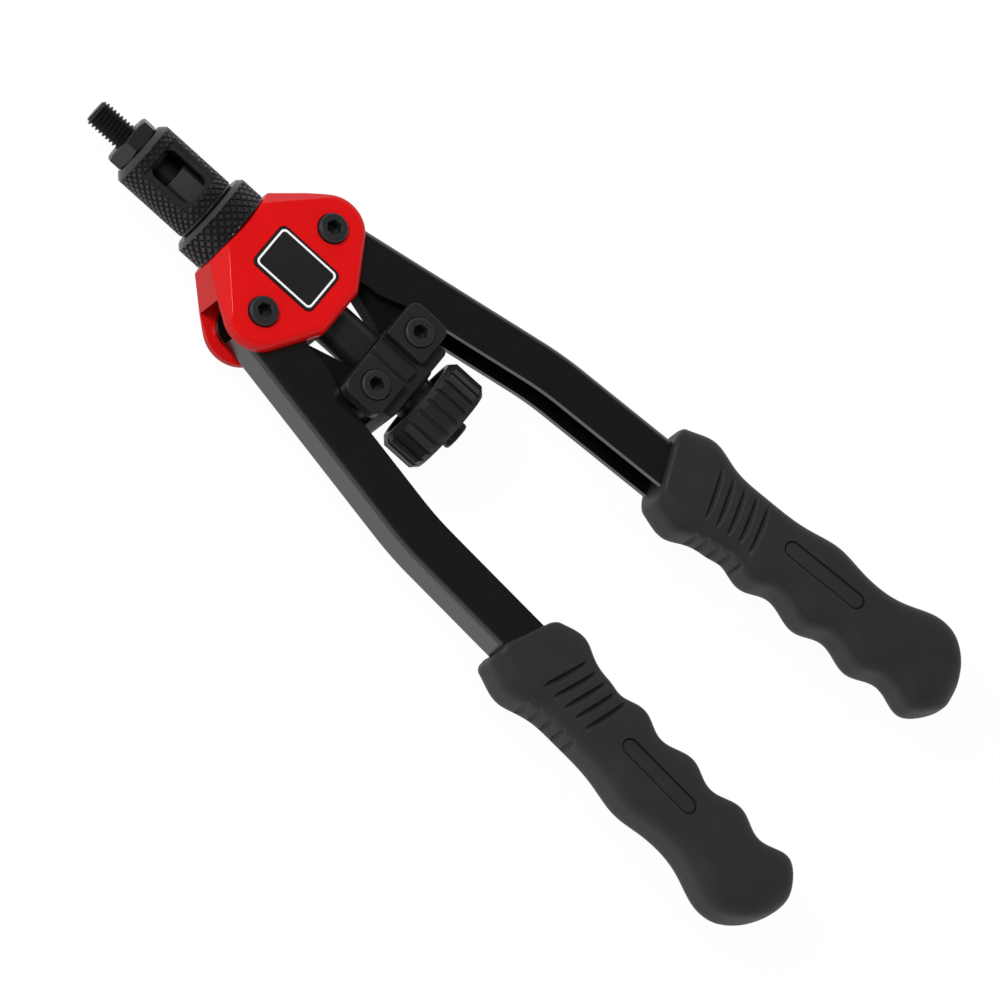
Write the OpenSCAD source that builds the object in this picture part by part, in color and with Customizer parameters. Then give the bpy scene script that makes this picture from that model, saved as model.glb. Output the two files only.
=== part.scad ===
// Hand tool that sets rivet nuts: two levers draw a threaded mandrel back through an anvil.
// Millimetres. The origin is the centre of the anvil's face on the mandrel axis.
// +X runs back towards the handles, +Y to the right-hand lever, +Z up from the flat-lying tool.

/* [Mandrel] */
// thread size of the mandrel
mandrel_d = 8; // [4:0.5:10]
// length that stands out of the anvil with the levers at rest
mandrel_out = 11.3; // [8:0.1:20]
// bevel at the mandrel's tip
mandrel_tip = 1; // [0.4:0.1:2]
// relief of the plain shank behind the thread
mandrel_relief = 0.6; // [0.4:0.05:0.8]
// how far the mandrel screws into the coupling
mandrel_grip = 9.9; // [6:0.1:14]

/* [Anvil] */
// width over flats of the anvil's hexagon
anvil_af = 14.5; // [13:0.5:17]
// thickness of the hexagon
anvil_t = 4.8; // [3:0.1:7]
// clearance round the mandrel in the anvil
anvil_play = 0.3; // [0.15:0.05:0.6]
// radius of the anvil's screwed spigot
spigot_r = 6; // [5.2:0.1:6.4]
// length of the spigot
spigot_len = 6.5; // [4:0.1:7]
// turn of the hexagon about the axis
anvil_turn = 30; // [0:1:60]
// length of the bevel on the hexagon's corners
anvil_bevel = 0.9; // [0.4:0.1:1.5]

/* [Nose sleeve] */
// outer radius of the knurled sleeve
sleeve_r = 10; // [9.2:0.1:12]
// length of the sleeve
sleeve_len = 25.4; // [22:0.1:30]
// inner radius round the coupling
sleeve_bore_r = 6.6; // [6.5:0.05:6.9]
// thickness of the sleeve's front wall
sleeve_wall = 4.7; // [3:0.1:5]
// bevel on the sleeve's front edge
sleeve_bevel = 1.6; // [0.5:0.1:2.2]
// distance of the milled flat from the axis
flat_height = 7; // [6.9:0.05:8]
// length of the milled flat
flat_len = 16; // [14:0.1:17]
// length of the window in the flat
window_len = 15.1; // [10:0.1:15.2]
// width of the window
window_w = 9.35; // [6:0.05:11]
// corner radius of the window
window_r = 3; // [1:0.1:4]
// distance from the flat's front edge to the window
window_set = 0.4; // [0.2:0.1:0.6]
// turn of the window about the axis
window_turn = 9; // [-60:1:60]

/* [Lock ring] */
// outer radius of the knurled lock ring
ring_r = 13.1; // [12:0.1:15]
// length of the lock ring
ring_len = 8.7; // [6:0.1:9]
// bevel on the ring's front edge
ring_bevel = 1.3; // [0.4:0.1:2.5]

/* [Nose nipple] */
// radius of the threaded nipple that carries sleeve and ring
nipple_r = 8; // [7.4:0.05:8.4]
// length of the nipple inside the sleeve
nipple_reach = 4.4; // [3:0.1:4.5]
// length of the nipple inside the head
nipple_sunk = 7.8; // [5:0.1:8]

/* [Head casting] */
// half thickness of the head
head_half = 11.4; // [10.4:0.1:13]
// front face of the head
head_front = 39.2; // [39.1:0.1:41]
// rear edge of the head
head_rear = 75.9; // [73:0.1:78]
// half width of the front face
head_front_half = 13.7; // [12:0.1:15]
// half width of the rear edge
head_rear_half = 9.7; // [9:0.1:12]
// radius of the round lobes about the pivots
lobe_r = 10.4; // [9:0.1:11]
// radius of the cheeks in front of the lobes
cheek_r = 9.3; // [8.5:0.1:9.6]
// middle of a cheek, along the tool
cheek_x = 53.5; // [52:0.1:55]
// middle of a cheek, across the tool
cheek_y = 13.9; // [13:0.1:15]
// rounding of the outer edges
head_round = 2.6; // [1:0.1:2.6]
// clearance over and under a lever in its pocket
pocket_play = 0.25; // [0.15:0.05:0.4]
// front wall of the lever pockets
pocket_front = 47.5; // [47.1:0.1:49]
// half width of the hub between the pockets
hub_half = 7.9; // [7.5:0.1:8]
// where the shoulder bevel starts on the top face, behind the front face
bevel_set = 0.8; // [0.4:0.1:1.5]
// where the shoulder bevel starts on the top face, across the tool
bevel_y = 8.5; // [7:0.1:10]
// tilt of the shoulder bevel from level
bevel_tilt = 53; // [50:0.5:58]
// turn of the shoulder bevel in plan
bevel_turn = 138.3; // [135:0.1:142]

/* [Badge] */
// length of the badge plate
badge_len = 21.5; // [16:0.1:24]
// width of the badge plate
badge_w = 15; // [10:0.1:16]
// thickness of the badge plate
badge_t = 0.8; // [0.5:0.1:1.2]
// depth of the badge's recess
badge_sunk = 0.5; // [0.2:0.1:1]
// distance of the badge's middle in front of the pivots
badge_set = 0.6; // [0:0.1:1.5]
// corner radius of the badge
badge_r = 2; // [0.5:0.1:3]

/* [Pivots] */
// lever pivot, along the tool
pivot_x = 58.85; // [58.3:0.05:59.5]
// lever pivot, across the tool
pivot_y = 16.35; // [16.3:0.05:17]
// radius of the pivot and link screws
screw_r = 2.5; // [2:0.1:2.6]
// radius of the screw heads
screw_head_r = 4.25; // [3.6:0.05:4.5]
// height of the screw heads
screw_head_h = 3.6; // [2.4:0.1:4]
// height of the screw heads above the surface
screw_proud = 1.6; // [0.5:0.1:2]
// clearance round the screw heads in their seats
screw_play = 0.15; // [0.1:0.05:0.3]
// distance of the screws' feet inside the far face
screw_short = 0.4; // [0.2:0.1:1]
// width over flats of the screw sockets
socket_af = 4; // [3:0.5:4.5]
// depth of the screw sockets
socket_deep = 2.6; // [1:0.1:2.6]
// radius of the bushes the levers turn on
bush_r = 4; // [3.4:0.1:5]

/* [Levers] */
// outer height of the pressed channel
lever_h = 13.5; // [12:0.1:13.6]
// outer width of the pressed channel
lever_w = 13; // [12.5:0.1:14.5]
// sheet thickness
sheet_t = 2; // [1.6:0.1:2.2]
// slope of the front stretch in plan
lever_angle = 11.03; // [10.6:0.01:11.4]
// slope of the rear stretch in plan
tail_angle = 3.58; // [3.2:0.01:4]
// distance of the channel's middle outside the pivot
lever_shift = 1.05; // [0.8:0.05:1.2]
// distance from the pivot to the knee
knee_run = 74.2; // [72:0.1:76]
// radius of the knee
knee_r = 100; // [70:1:130]
// length of the rear stretch past the knee
tail_len = 98; // [88:0.5:105]
// how much wider the flanges are behind the pivot
swell_out = 1.85; // [0.5:0.05:2.2]
// how far the wider stretch of the flanges runs
swell_run = 36; // [30:0.5:42]
// relief between the flanges' round ends and the web
bend_relief = 0.6; // [0.3:0.1:2]

/* [Links] */
// length of a link between its pins
link_len = 30; // [29.8:0.05:30.2]
// slope of a link at rest
link_angle = 15.1; // [14.6:0.1:15.6]
// half thickness of a pair of link plates
link_half = 3.2; // [2:0.05:3.3]
// eye radius at the crosshead
link_eye_r = 5.4; // [4.6:0.05:5.5]
// eye radius at the lever
link_tip_r = 4.6; // [4:0.05:4.7]
// radius of the pin in the lever
link_pin_r = 2; // [1.6:0.05:2.2]
// play of the link on the lever's pin
link_play = 0.6; // [0.55:0.05:0.9]

/* [Crosshead] */
// link screws, along the tool
cross_x = 95.6; // [95.2:0.05:96]
// link screws, across the tool
cross_y = 10.3; // [10.2:0.05:10.6]
// distance of the pads' front edge before the link screws
pad_lead = 7.1; // [6.8:0.1:7.4]
// length of the crosshead's pads
pad_len = 13.4; // [12.6:0.1:13.4]
// half width over the pads
pad_half = 17.2; // [16.5:0.1:19]
// top of the pads above the axis
pad_top = 12.2; // [11:0.1:13]
// clearance of the ears over a lever
ear_play = 0.35; // [0.2:0.05:0.8]
// corner radius of the pads
pad_r = 3; // [1:0.1:4]
// half width of the saddle between the pads
saddle_half = 3.3; // [2:0.1:4]
// radius of the saddle
saddle_r = 10.9; // [10:0.1:11.5]
// width of the grooves beside the saddle
saddle_gap = 0.6; // [0.3:0.1:1]
// depth of the grooves beside the saddle
saddle_deep = 2.2; // [1:0.1:3]
// half width of the thick middle
middle_half = 12.4; // [11.5:0.1:12.6]
// half height of the slots for the links
slot_half = 3.4; // [3.35:0.05:3.8]
// half width of the web between the slots
web_half = 4.5; // [4:0.05:4.6]
// height of a crosshead screw's head above its pad
cross_proud = 0.9; // [0.4:0.1:2]
// half height of the thick rear wall
rear_half = 9.5; // [8.5:0.1:10]
// length of the rear wall behind the pads
rear_len = 3.4; // [2:0.1:3.5]
// half width of the rear wall
wall_half = 13.2; // [12:0.1:14]
// bevel of the rear wall's corners
rear_bevel = 1.6; // [0.5:0.1:2.5]
// radius of the rear collar
collar_r = 9; // [8:0.1:9.4]
// length of the rear collar, wall included
collar_len = 4; // [3.6:0.1:4.5]

/* [Barrel and spindle] */
// outer radius of the barrel
barrel_r = 6.35; // [5.8:0.05:6.4]
// front end of the barrel
barrel_front = 52; // [50:0.5:56]
// outer radius of the guide bush
guide_r = 7.1; // [6.9:0.05:7.3]
// length of the guide bush
guide_len = 15; // [8:0.5:24]
// clearance of the barrel round the spindle
barrel_play = 0.3; // [0.2:0.05:0.6]
// radius of the spindle
spindle_r = 3; // [2.4:0.05:3.1]
// width over flats of the drive coupling
coupling_af = 10.8; // [9:0.1:11]
// front end of the coupling
coupling_front = 17.1; // [16.8:0.1:18.5]
// length of the coupling
coupling_len = 13; // [12:0.1:16]

/* [Knob] */
// outer radius of the knob
knob_r = 15; // [12:0.1:16]
// distance of the knob's rim behind the thrust washer
knob_gap = 0.6; // [0.3:0.1:2]
// width of the knob's rim round its hollow
knob_rim = 3.2; // [2:0.1:5]
// length of the knob
knob_len = 12.7; // [10:0.1:16]
// bevel at both ends of the knob
knob_bevel = 1.8; // [0.5:0.1:3]
// number of flutes
flutes = 24; // [12:1:30]
// depth of the flutes
flute_deep = 0.9; // [0.4:0.1:1.4]
// width of the flutes
flute_w = 1.2; // [1:0.1:2]
// radius of the knob's hub
knob_hub_r = 6.5; // [5:0.1:8]
// depth of the hollow in the knob's front
knob_hollow = 3; // [1:0.1:6]
// thickness of the thrust washer
washer_t = 1.4; // [0.8:0.1:1.5]
// radius of the cap behind the knob
cap_r = 4.2; // [3.8:0.1:6]
// length of the cap
cap_len = 2.7; // [2:0.1:5]

/* [Grips] */
// half thickness of the rubber grips
grip_half = 9.8; // [8.6:0.1:11]
// front of a grip past the knee
grip_front = 40.3; // [36:0.1:44]
// length of a grip
grip_len = 103.3; // [98:0.1:106]
// slant of the grip's front edge
grip_slant = 15.5; // [8:0.5:20]
// slant of the grip's butt
butt_slant = 6; // [0:0.5:12]
// width of a grip outside its middle line
grip_out = 11; // [10:0.1:12]
// width of a grip inside its middle line
grip_in = 9.5; // [8.8:0.1:10.5]
// rise of the finger waves
wave_rise = 1.4; // [0:0.05:1.4]
// length of a finger wave
wave_len = 19; // [16:0.5:22]
// where the finger waves crest, behind the grip's front
wave_at = 38; // [32:0.5:42]
// length of the round butt
butt_len = 12; // [8:0.5:16]
// swell at the front of the grip, outside
swell_front = 3.8; // [1:0.1:5]
// place of the front swell
swell_front_at = 7.6; // [4:0.1:10]
// length of the front swell
swell_front_len = 8; // [5:0.5:12]
// swell at the middle of the grip, outside
swell_mid = 2.3; // [0:0.1:3]
// place of the middle swell
swell_mid_at = 53; // [46:0.5:58]
// length of the middle swell
swell_mid_len = 9; // [6:0.5:14]
// swell at the butt of the grip, outside
swell_butt = 4.9; // [1:0.1:6]
// place of the butt's swell before the end
swell_butt_at = 15; // [12:0.5:20]
// length of the butt's swell
swell_butt_len = 11; // [6:0.5:14]
// swell at the front of the grip, inside
swell_stop = 4.1; // [1:0.1:5]
// place of the inside swell
swell_stop_at = 11; // [8:0.5:14]
// length of the inside swell
swell_stop_len = 7.5; // [4:0.5:9]
// place of the recess in the grip's face, behind the grip's front
recess_x = 53.4; // [46:0.1:58]
// place of the recess outside the grip's middle line
recess_y = 2; // [0:0.1:3]
// length of the recess in the grip's face
recess_len = 22.6; // [12:0.1:24]
// radius of the recess's ends
recess_r = 2.5; // [1.5:0.1:3]
// depth of the recess
recess_deep = 0.6; // [0.2:0.1:0.9]

/* [Fits] */
// running clearance on a radius
run_fit = 0.05; // [0.02:0.01:0.09]
// seat clearance on a radius
seat_fit = 0.02; // [0.01:0.01:0.04]
// gap between faces that slide or turn on each other
face_gap = 0.2; // [0.1:0.05:0.3]
// play of the bushes' and link plates' faces
face_fit = 0.05; // [0.02:0.01:0.09]
// small bevel on turned edges
edge_bevel = 0.5; // [0.2:0.1:0.8]

/* [Hidden] */
$fn = 96;
eps = 0.02;
sides = [1, -1];
mandrel_r = mandrel_d / 2;
sleeve_front = anvil_t;
sleeve_rear = sleeve_front + sleeve_len;
spigot_end = anvil_t + spigot_len;
flat_front = sleeve_front + sleeve_wall;
window_front = flat_front + window_set;
ring_front = sleeve_rear + face_gap;
ring_rear = ring_front + ring_len;
nipple_front = sleeve_rear - nipple_reach;
nipple_rear = head_front + nipple_sunk;
coupling_end = coupling_front + coupling_len;
mandrel_end = coupling_front + mandrel_grip;
pad_front = cross_x - pad_lead;
pad_rear = pad_front + pad_len;
collar_rear = pad_rear + collar_len;
washer_rear = collar_rear + washer_t;
knob_front = washer_rear + knob_gap;
knob_rear = knob_front + knob_len;
cap_rear = knob_rear + cap_len;
spindle_end = cap_rear - cap_len / 3;
lever_half = lever_h / 2;
pocket_half = lever_half + pocket_play;
ear_under = lever_half + ear_play;
cut_reach = 4 * lobe_r;
badge_x = pivot_x - badge_set;
channel_half = lever_h / 2 - sheet_t;
web_in = lever_w / 2 - sheet_t;
knee_turn = lever_angle - tail_angle;
knee_tangent = knee_r * tan(knee_turn / 2);
lever_dir = [cos(lever_angle), sin(lever_angle)];
lever_side = [-sin(lever_angle), cos(lever_angle)];
tail_dir = [cos(tail_angle), sin(tail_angle)];
pivot = [pivot_x, pivot_y];
lever_line = pivot + lever_shift * lever_side;
knee_in = lever_line + (knee_run - knee_tangent) * lever_dir;
knee_mid = knee_in - knee_r * lever_side;
knee_point = lever_line + knee_run * lever_dir;
knee_out = knee_point + knee_tangent * tail_dir;
tail_side = [-sin(tail_angle), cos(tail_angle)];
tail_end = knee_out + tail_len * tail_dir;
lever_end_r = lever_w / 2 + lever_shift;
// how square the grips' section is
corner_power = 3.4;
// the lever's round end turns this far about the pivot
end_turn = 191;
// the flanges' wider inner edge, as shares of its run and of its extra width
swell_steps = [[0.79, 0.34], [0.67, 0.77], [0.56, 1], [0.45, 0.74]];
cross_pin = [cross_x, cross_y];
lever_pin = cross_pin + link_len * [-cos(link_angle), sin(link_angle)];

// Helpers

// a round bar along the tool from one station to another
module bar(r, from, to) {
    translate([from, 0, 0]) rotate([0, 90, 0]) cylinder(r = r, h = to - from);
}

// a turned piece whose outline is given as radius and station
module turned(outline) {
    rotate([0, 90, 0]) rotate_extrude() polygon(outline);
}

// a rectangle with round corners, about its centre
module round_rect(len, wide, r) {
    square([len - 2 * r, wide], center = true);
    square([len, wide - 2 * r], center = true);
    for (a = sides, b = sides) translate([a * (len / 2 - r), b * (wide / 2 - r)]) circle(r);
}

// a bar with round ends between two points, wider at one than at the other
module tapered_bar(a, ra, b, rb) {
    run = norm(b - a);
    phi = atan2(b[1] - a[1], b[0] - a[0]);
    lean = acos((ra - rb) / run);
    translate(a) circle(ra);
    translate(b) circle(rb);
    polygon([
        a + ra * [cos(phi + lean), sin(phi + lean)],
        a + ra * [cos(phi - lean), sin(phi - lean)],
        b + rb * [cos(phi - lean), sin(phi - lean)],
        b + rb * [cos(phi + lean), sin(phi + lean)]
    ]);
}

// keeps the right-hand shape, or mirrors it for the left
module on_side(s) {
    if (s > 0) children();
    else mirror([0, 1, 0]) children();
}

// a socket-head screw that stands with its head at the given level and runs to the foot level
module socket_screw(top, foot) {
    difference() {
        union() {
            translate([0, 0, top - screw_head_h]) cylinder(r = screw_head_r, h = screw_head_h);
            translate([0, 0, foot]) cylinder(r = screw_r, h = top - foot - screw_head_h / 2);
        }
        translate([0, 0, top - socket_deep])
            linear_extrude(socket_deep + 1) circle(d = socket_af / cos(30), $fn = 6);
    }
}

// Nose

module mandrel() {
    color("#3c3d3f")
    turned([
        [0, -mandrel_out],
        [mandrel_r - mandrel_tip, -mandrel_out],
        [mandrel_r, -mandrel_out + mandrel_tip],
        [mandrel_r, 0],
        [mandrel_r - mandrel_relief, 0],
        [mandrel_r - mandrel_relief, mandrel_end],
        [0, mandrel_end]
    ]);
}

module anvil() {
    color("#4a4b4d")
    difference() {
        union() {
            intersection() {
                rotate([anvil_turn, 0, 0]) rotate([0, 90, 0])
                    linear_extrude(anvil_t) circle(d = anvil_af / cos(30), $fn = 6);
                turned([
                    [0, 0],
                    [anvil_af / 2, 0],
                    [anvil_af / 2 + 1.4 * anvil_bevel, anvil_bevel],
                    [anvil_af / 2 + 1.4 * anvil_bevel, anvil_t],
                    [0, anvil_t]
                ]);
            }
            bar(spigot_r, anvil_t - 1, spigot_end);
        }
        bar(mandrel_r + anvil_play, -1, spigot_end + 1);
    }
}

module nose_sleeve() {
    color("#38393b")
    difference() {
        turned([
            [spigot_r + seat_fit, sleeve_front],
            [sleeve_r - sleeve_bevel, sleeve_front],
            [sleeve_r, sleeve_front + sleeve_bevel],
            [sleeve_r, sleeve_rear - edge_bevel],
            [sleeve_r - edge_bevel, sleeve_rear],
            [nipple_r + run_fit, sleeve_rear],
            [nipple_r + run_fit, nipple_front - face_gap],
            [sleeve_bore_r, nipple_front - face_gap],
            [sleeve_bore_r, flat_front],
            [spigot_r + seat_fit, flat_front]
        ]);
        rotate([window_turn, 0, 0]) {
            translate([flat_front + flat_len / 2, 0, flat_height])
                linear_extrude(sleeve_r) round_rect(flat_len, 4 * sleeve_r, window_r / 2);
            translate([window_front + window_len / 2, 0, 0])
                linear_extrude(sleeve_r) round_rect(window_len, window_w, window_r);
        }
    }
}

module lock_ring() {
    color("#3e3f41")
    turned([
        [nipple_r + run_fit, ring_front],
        [ring_r - ring_bevel, ring_front],
        [ring_r, ring_front + ring_bevel],
        [ring_r, ring_rear - edge_bevel],
        [ring_r - edge_bevel, ring_rear],
        [nipple_r + run_fit, ring_rear]
    ]);
}

module nose_nipple() {
    color("#55575a")
    turned([
        [sleeve_bore_r, nipple_front],
        [nipple_r, nipple_front],
        [nipple_r, nipple_rear],
        [sleeve_bore_r, nipple_rear]
    ]);
}

// Head

// one level of the casting's rounded body, drawn in by an inset
module head_level(inset, level) {
    translate([0, 0, level]) linear_extrude(eps) {
        for (s = sides) {
            translate([pivot_x, s * pivot_y]) circle(lobe_r - inset, $fn = 72);
            translate([cheek_x, s * cheek_y]) circle(cheek_r - inset, $fn = 72);
            translate([head_rear - 1.1 * head_round, s * (head_rear_half - head_round)])
                circle(1.1 * head_round - inset, $fn = 32);
        }
        translate([head_front + inset / 3, -head_front_half + inset])
            square([lobe_r, 2 * (head_front_half - inset)]);
    }
}

module head_body() {
    hull() {
        for (a = [0, 22.5, 45, 67.5, 90]) {
            head_level(head_round * (1 - cos(a)), head_half - head_round * (1 - sin(a)) - eps);
            head_level(head_round * (1 - cos(a)), -head_half + head_round * (1 - sin(a)));
        }
    }
}

// what the sloped shoulders lose at the four front corners
module shoulder_cut() {
    for (s = sides, t = sides)
        scale([1, s, t])
            translate([head_front + bevel_set, bevel_y, head_half])
                rotate([0, bevel_tilt, bevel_turn])
                    translate([-cut_reach, -cut_reach, 0]) cube([2 * cut_reach, 2 * cut_reach, cut_reach]);
}

module head_casting() {
    color("#d81b1e")
    difference() {
        head_body();
        shoulder_cut();
        for (s = sides) {
            translate([pocket_front, s > 0 ? hub_half : -hub_half - cut_reach, -pocket_half])
                cube([cut_reach, cut_reach, 2 * pocket_half]);
            translate([pivot_x, s * pivot_y, -head_half - 1])
                cylinder(r = screw_r + seat_fit, h = 2 * head_half + 2);
            translate([pivot_x, s * pivot_y, head_half + screw_proud - screw_head_h - eps])
                cylinder(r = screw_head_r + screw_play, h = screw_head_h);
        }
        bar(nipple_r + seat_fit, head_front - 1, pocket_front);
        bar(guide_r + seat_fit, pocket_front - 1, head_rear + 1);
        translate([badge_x, 0, head_half - badge_sunk])
            linear_extrude(badge_sunk + 1) round_rect(badge_len + face_gap, badge_w + face_gap, badge_r);
    }
}

module badge_plate() {
    color("#141416")
    translate([badge_x, 0, head_half - badge_sunk])
        linear_extrude(badge_t) round_rect(badge_len, badge_w, badge_r);
}

module guide_bush() {
    color("#a07c3c")
    turned([
        [barrel_r + run_fit, head_rear - guide_len],
        [guide_r, head_rear - guide_len],
        [guide_r, head_rear],
        [barrel_r + run_fit, head_rear]
    ]);
}

module pivot_screws() {
    color("#2c2d2f")
    for (s = sides)
        translate([pivot_x, s * pivot_y, 0]) socket_screw(head_half + screw_proud, -head_half + screw_short);
}

// Pull train

module cross_ear() {
    mid = (pad_front + pad_rear) / 2;
    difference() {
        union() {
            translate([mid, 0, ear_under])
                linear_extrude(pad_top - ear_under) round_rect(pad_len, 2 * pad_half, pad_r);
            translate([pad_front, -middle_half, slot_half])
                cube([pad_len, 2 * middle_half, ear_under - slot_half + 1]);
        }
        translate([pad_front - 1, -saddle_half - saddle_gap, saddle_r - saddle_deep])
            cube([pad_len + 2, 2 * (saddle_half + saddle_gap), pad_top]);
    }
    intersection() {
        bar(saddle_r, pad_front, pad_rear);
        translate([pad_front, -saddle_half, slot_half]) cube([pad_len, 2 * saddle_half, pad_top]);
    }
}

// the wall behind the pads, with its rear corners bevelled
module rear_plan() {
    polygon([
        [pad_rear - eps, -wall_half],
        [pad_rear + rear_len - rear_bevel, -wall_half],
        [pad_rear + rear_len, -wall_half + rear_bevel],
        [pad_rear + rear_len, wall_half - rear_bevel],
        [pad_rear + rear_len - rear_bevel, wall_half],
        [pad_rear - eps, wall_half]
    ]);
}

module crosshead() {
    color("#242527")
    difference() {
        union() {
            cross_ear();
            mirror([0, 0, 1]) cross_ear();
            translate([pad_front, -web_half, -slot_half - 1])
                cube([pad_len, 2 * web_half, 2 * slot_half + 2]);
            translate([0, 0, -rear_half]) linear_extrude(2 * rear_half) rear_plan();
            turned([
                [0, pad_rear - eps],
                [collar_r, pad_rear - eps],
                [collar_r, collar_rear - edge_bevel],
                [collar_r - edge_bevel, collar_rear],
                [0, collar_rear]
            ]);
        }
        bar(spindle_r + run_fit, pad_front - 1, collar_rear + 1);
        for (s = sides) {
            translate([cross_x, s * cross_y, -pad_top - 1])
                cylinder(r = screw_r + seat_fit, h = 2 * pad_top + 2);
            translate([cross_x, s * cross_y, pad_top + cross_proud - screw_head_h - eps])
                cylinder(r = screw_head_r + screw_play, h = screw_head_h);
        }
    }
}

module barrel() {
    color("#2a2b2d")
    turned([
        [spindle_r + barrel_play, barrel_front],
        [barrel_r - edge_bevel, barrel_front],
        [barrel_r, barrel_front + edge_bevel],
        [barrel_r, pad_front],
        [spindle_r + barrel_play, pad_front]
    ]);
}

module crosshead_screws() {
    color("#2c2d2f")
    for (s = sides)
        translate([cross_x, s * cross_y, 0]) socket_screw(pad_top + cross_proud, -pad_top + screw_short);
}

module thrust_washer() {
    color("#8d8f92")
    turned([
        [spindle_r + run_fit, collar_rear],
        [knob_hub_r, collar_rear],
        [knob_hub_r, washer_rear],
        [spindle_r + run_fit, washer_rear]
    ]);
}

// Spindle

module spindle() {
    color("#6b6d70")
    bar(spindle_r, mandrel_end + face_gap, spindle_end);
}

module drive_coupling() {
    color("#5a5c5f")
    difference() {
        rotate([window_turn, 0, 0]) translate([coupling_front, 0, 0]) rotate([0, 90, 0]) rotate([0, 0, 30])
            linear_extrude(coupling_len) circle(d = coupling_af / cos(30), $fn = 6);
        bar(mandrel_r - mandrel_relief + seat_fit, coupling_front - 1, mandrel_end);
        bar(spindle_r + seat_fit, mandrel_end - 1, coupling_end + 1);
    }
}

module knob() {
    hub_front = washer_rear + face_gap / 2;
    color("#262729")
    difference() {
        turned([
            [spindle_r + seat_fit, hub_front],
            [knob_hub_r, hub_front],
            [knob_hub_r, knob_front + knob_hollow],
            [knob_r - knob_rim, knob_front + knob_hollow],
            [knob_r - knob_rim, knob_front],
            [knob_r - knob_bevel, knob_front],
            [knob_r, knob_front + knob_bevel],
            [knob_r, knob_rear - knob_bevel],
            [knob_r - knob_bevel, knob_rear],
            [spindle_r + seat_fit, knob_rear]
        ]);
        for (i = [0 : flutes - 1])
            rotate([i * 360 / flutes, 0, 0])
                translate([knob_front - 1, -flute_w / 2, knob_r - flute_deep])
                    cube([knob_len + 2, flute_w, 2 * flute_deep]);
    }
}

module knob_cap() {
    color("#303134")
    turned([
        [0, spindle_end],
        [spindle_r + seat_fit, spindle_end],
        [spindle_r + seat_fit, knob_rear],
        [cap_r, knob_rear],
        [cap_r, cap_rear - edge_bevel],
        [cap_r - edge_bevel, cap_rear],
        [0, cap_rear]
    ]);
}

// Levers

// the lever's side line at a distance from its middle, from a start past the pivot to the tail's end
function side_line(off, start) = concat(
    [lever_line + start * lever_dir + off * lever_side],
    [for (i = [0 : 8])
        let (a = lever_angle - knee_turn * i / 8)
        knee_mid + (knee_r + off) * [-sin(a), cos(a)]],
    [tail_end + off * tail_side]
);
function turned_back(line) = [for (i = [len(line) - 1 : -1 : 0]) line[i]];

// the flanges' plan, round at the pivot and wider on the inner side behind it
module flange_plan() {
    polygon(concat(
        side_line(lever_w / 2, 0),
        turned_back(side_line(-lever_w / 2, swell_run)),
        [for (p = swell_steps)
            lever_line + p[0] * swell_run * lever_dir - (lever_w / 2 + p[1] * swell_out) * lever_side],
        [for (i = [0 : 24])
            let (a = lever_angle + 90 + end_turn * (1 - i / 25))
            pivot + lever_end_r * [cos(a), sin(a)]]
    ));
}

// all that lies inside the web, and in front of it
module channel_plan() {
    reach = 4 * lever_w;
    polygon(concat(
        side_line(web_in, bend_relief),
        [
            tail_end + reach * tail_dir + web_in * tail_side,
            tail_end + reach * tail_dir - reach * tail_side,
            pivot - [reach, reach],
            pivot + [-reach, reach],
            lever_line + bend_relief * lever_dir + reach * lever_side
        ]
    ));
}

module lever_side_shape() {
    difference() {
        linear_extrude(lever_h, center = true) flange_plan();
        linear_extrude(2 * channel_half, center = true) channel_plan();
        translate([pivot_x, pivot_y, -lever_half - 1])
            cylinder(r = bush_r + seat_fit, h = lever_h + 2);
        translate([lever_pin[0], lever_pin[1], -lever_half - 1])
            cylinder(r = link_pin_r + seat_fit, h = lever_h + 2);
    }
}

module pivot_bush_shape() {
    for (t = sides)
        translate([pivot_x, pivot_y, t > 0 ? channel_half : -pocket_half + face_fit])
            difference() {
                cylinder(r = bush_r, h = pocket_half - face_fit - channel_half);
                translate([0, 0, -1]) cylinder(r = screw_r + run_fit, h = lever_h);
            }
}

module link_pin_shape() {
    translate([lever_pin[0], lever_pin[1], -lever_half]) cylinder(r = link_pin_r, h = lever_h);
}

// two plates, one on the other
module link_shape() {
    for (t = sides)
        translate([0, 0, t > 0 ? face_fit : -link_half])
            linear_extrude(link_half - face_fit)
                difference() {
                    tapered_bar(cross_pin, link_eye_r, lever_pin, link_tip_r);
                    translate(cross_pin) circle(screw_r + run_fit);
                    translate(lever_pin) circle(link_pin_r + link_play);
                }
}

// Grips

// a smooth hump of the given width about a station
function hump(u, mid, wide) = exp(-pow((u - mid) / wide, 2));
// zero before one station, one after another
function ramp(u, a, b) = let (s = min(1, max(0, (u - a) / (b - a)))) s * s * (3 - 2 * s);
// how far the round butt has closed at a station
function butt(u) = let (s = max(0, (u - grip_len) / butt_len + 1)) pow(max(0, 1 - pow(s, 2.4)), 0.45);
// shear that slants the front edge, dies out along the grip and slants the butt
function shear(u) = tan(grip_slant + tail_angle) * max(0, 1 - u / (0.8 * grip_len))
    + tan(butt_slant) * ramp(u, 0.7 * grip_len, grip_len);
// outline outside and inside the lever's middle line, counted from the grip's front
function grip_outer(u) = grip_out + swell_front * hump(u, swell_front_at, swell_front_len)
    + swell_mid * hump(u, swell_mid_at, swell_mid_len)
    + swell_butt * hump(u, grip_len - swell_butt_at, swell_butt_len);
function grip_inner(u) = grip_in + swell_stop * hump(u, swell_stop_at, swell_stop_len)
    + wave_rise * cos(360 * (u - wave_at) / wave_len) * ramp(u, 0.65 * wave_at, 0.92 * wave_at);
function soft(c, n) = sign(c) * pow(abs(c), 2 / n);
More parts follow.
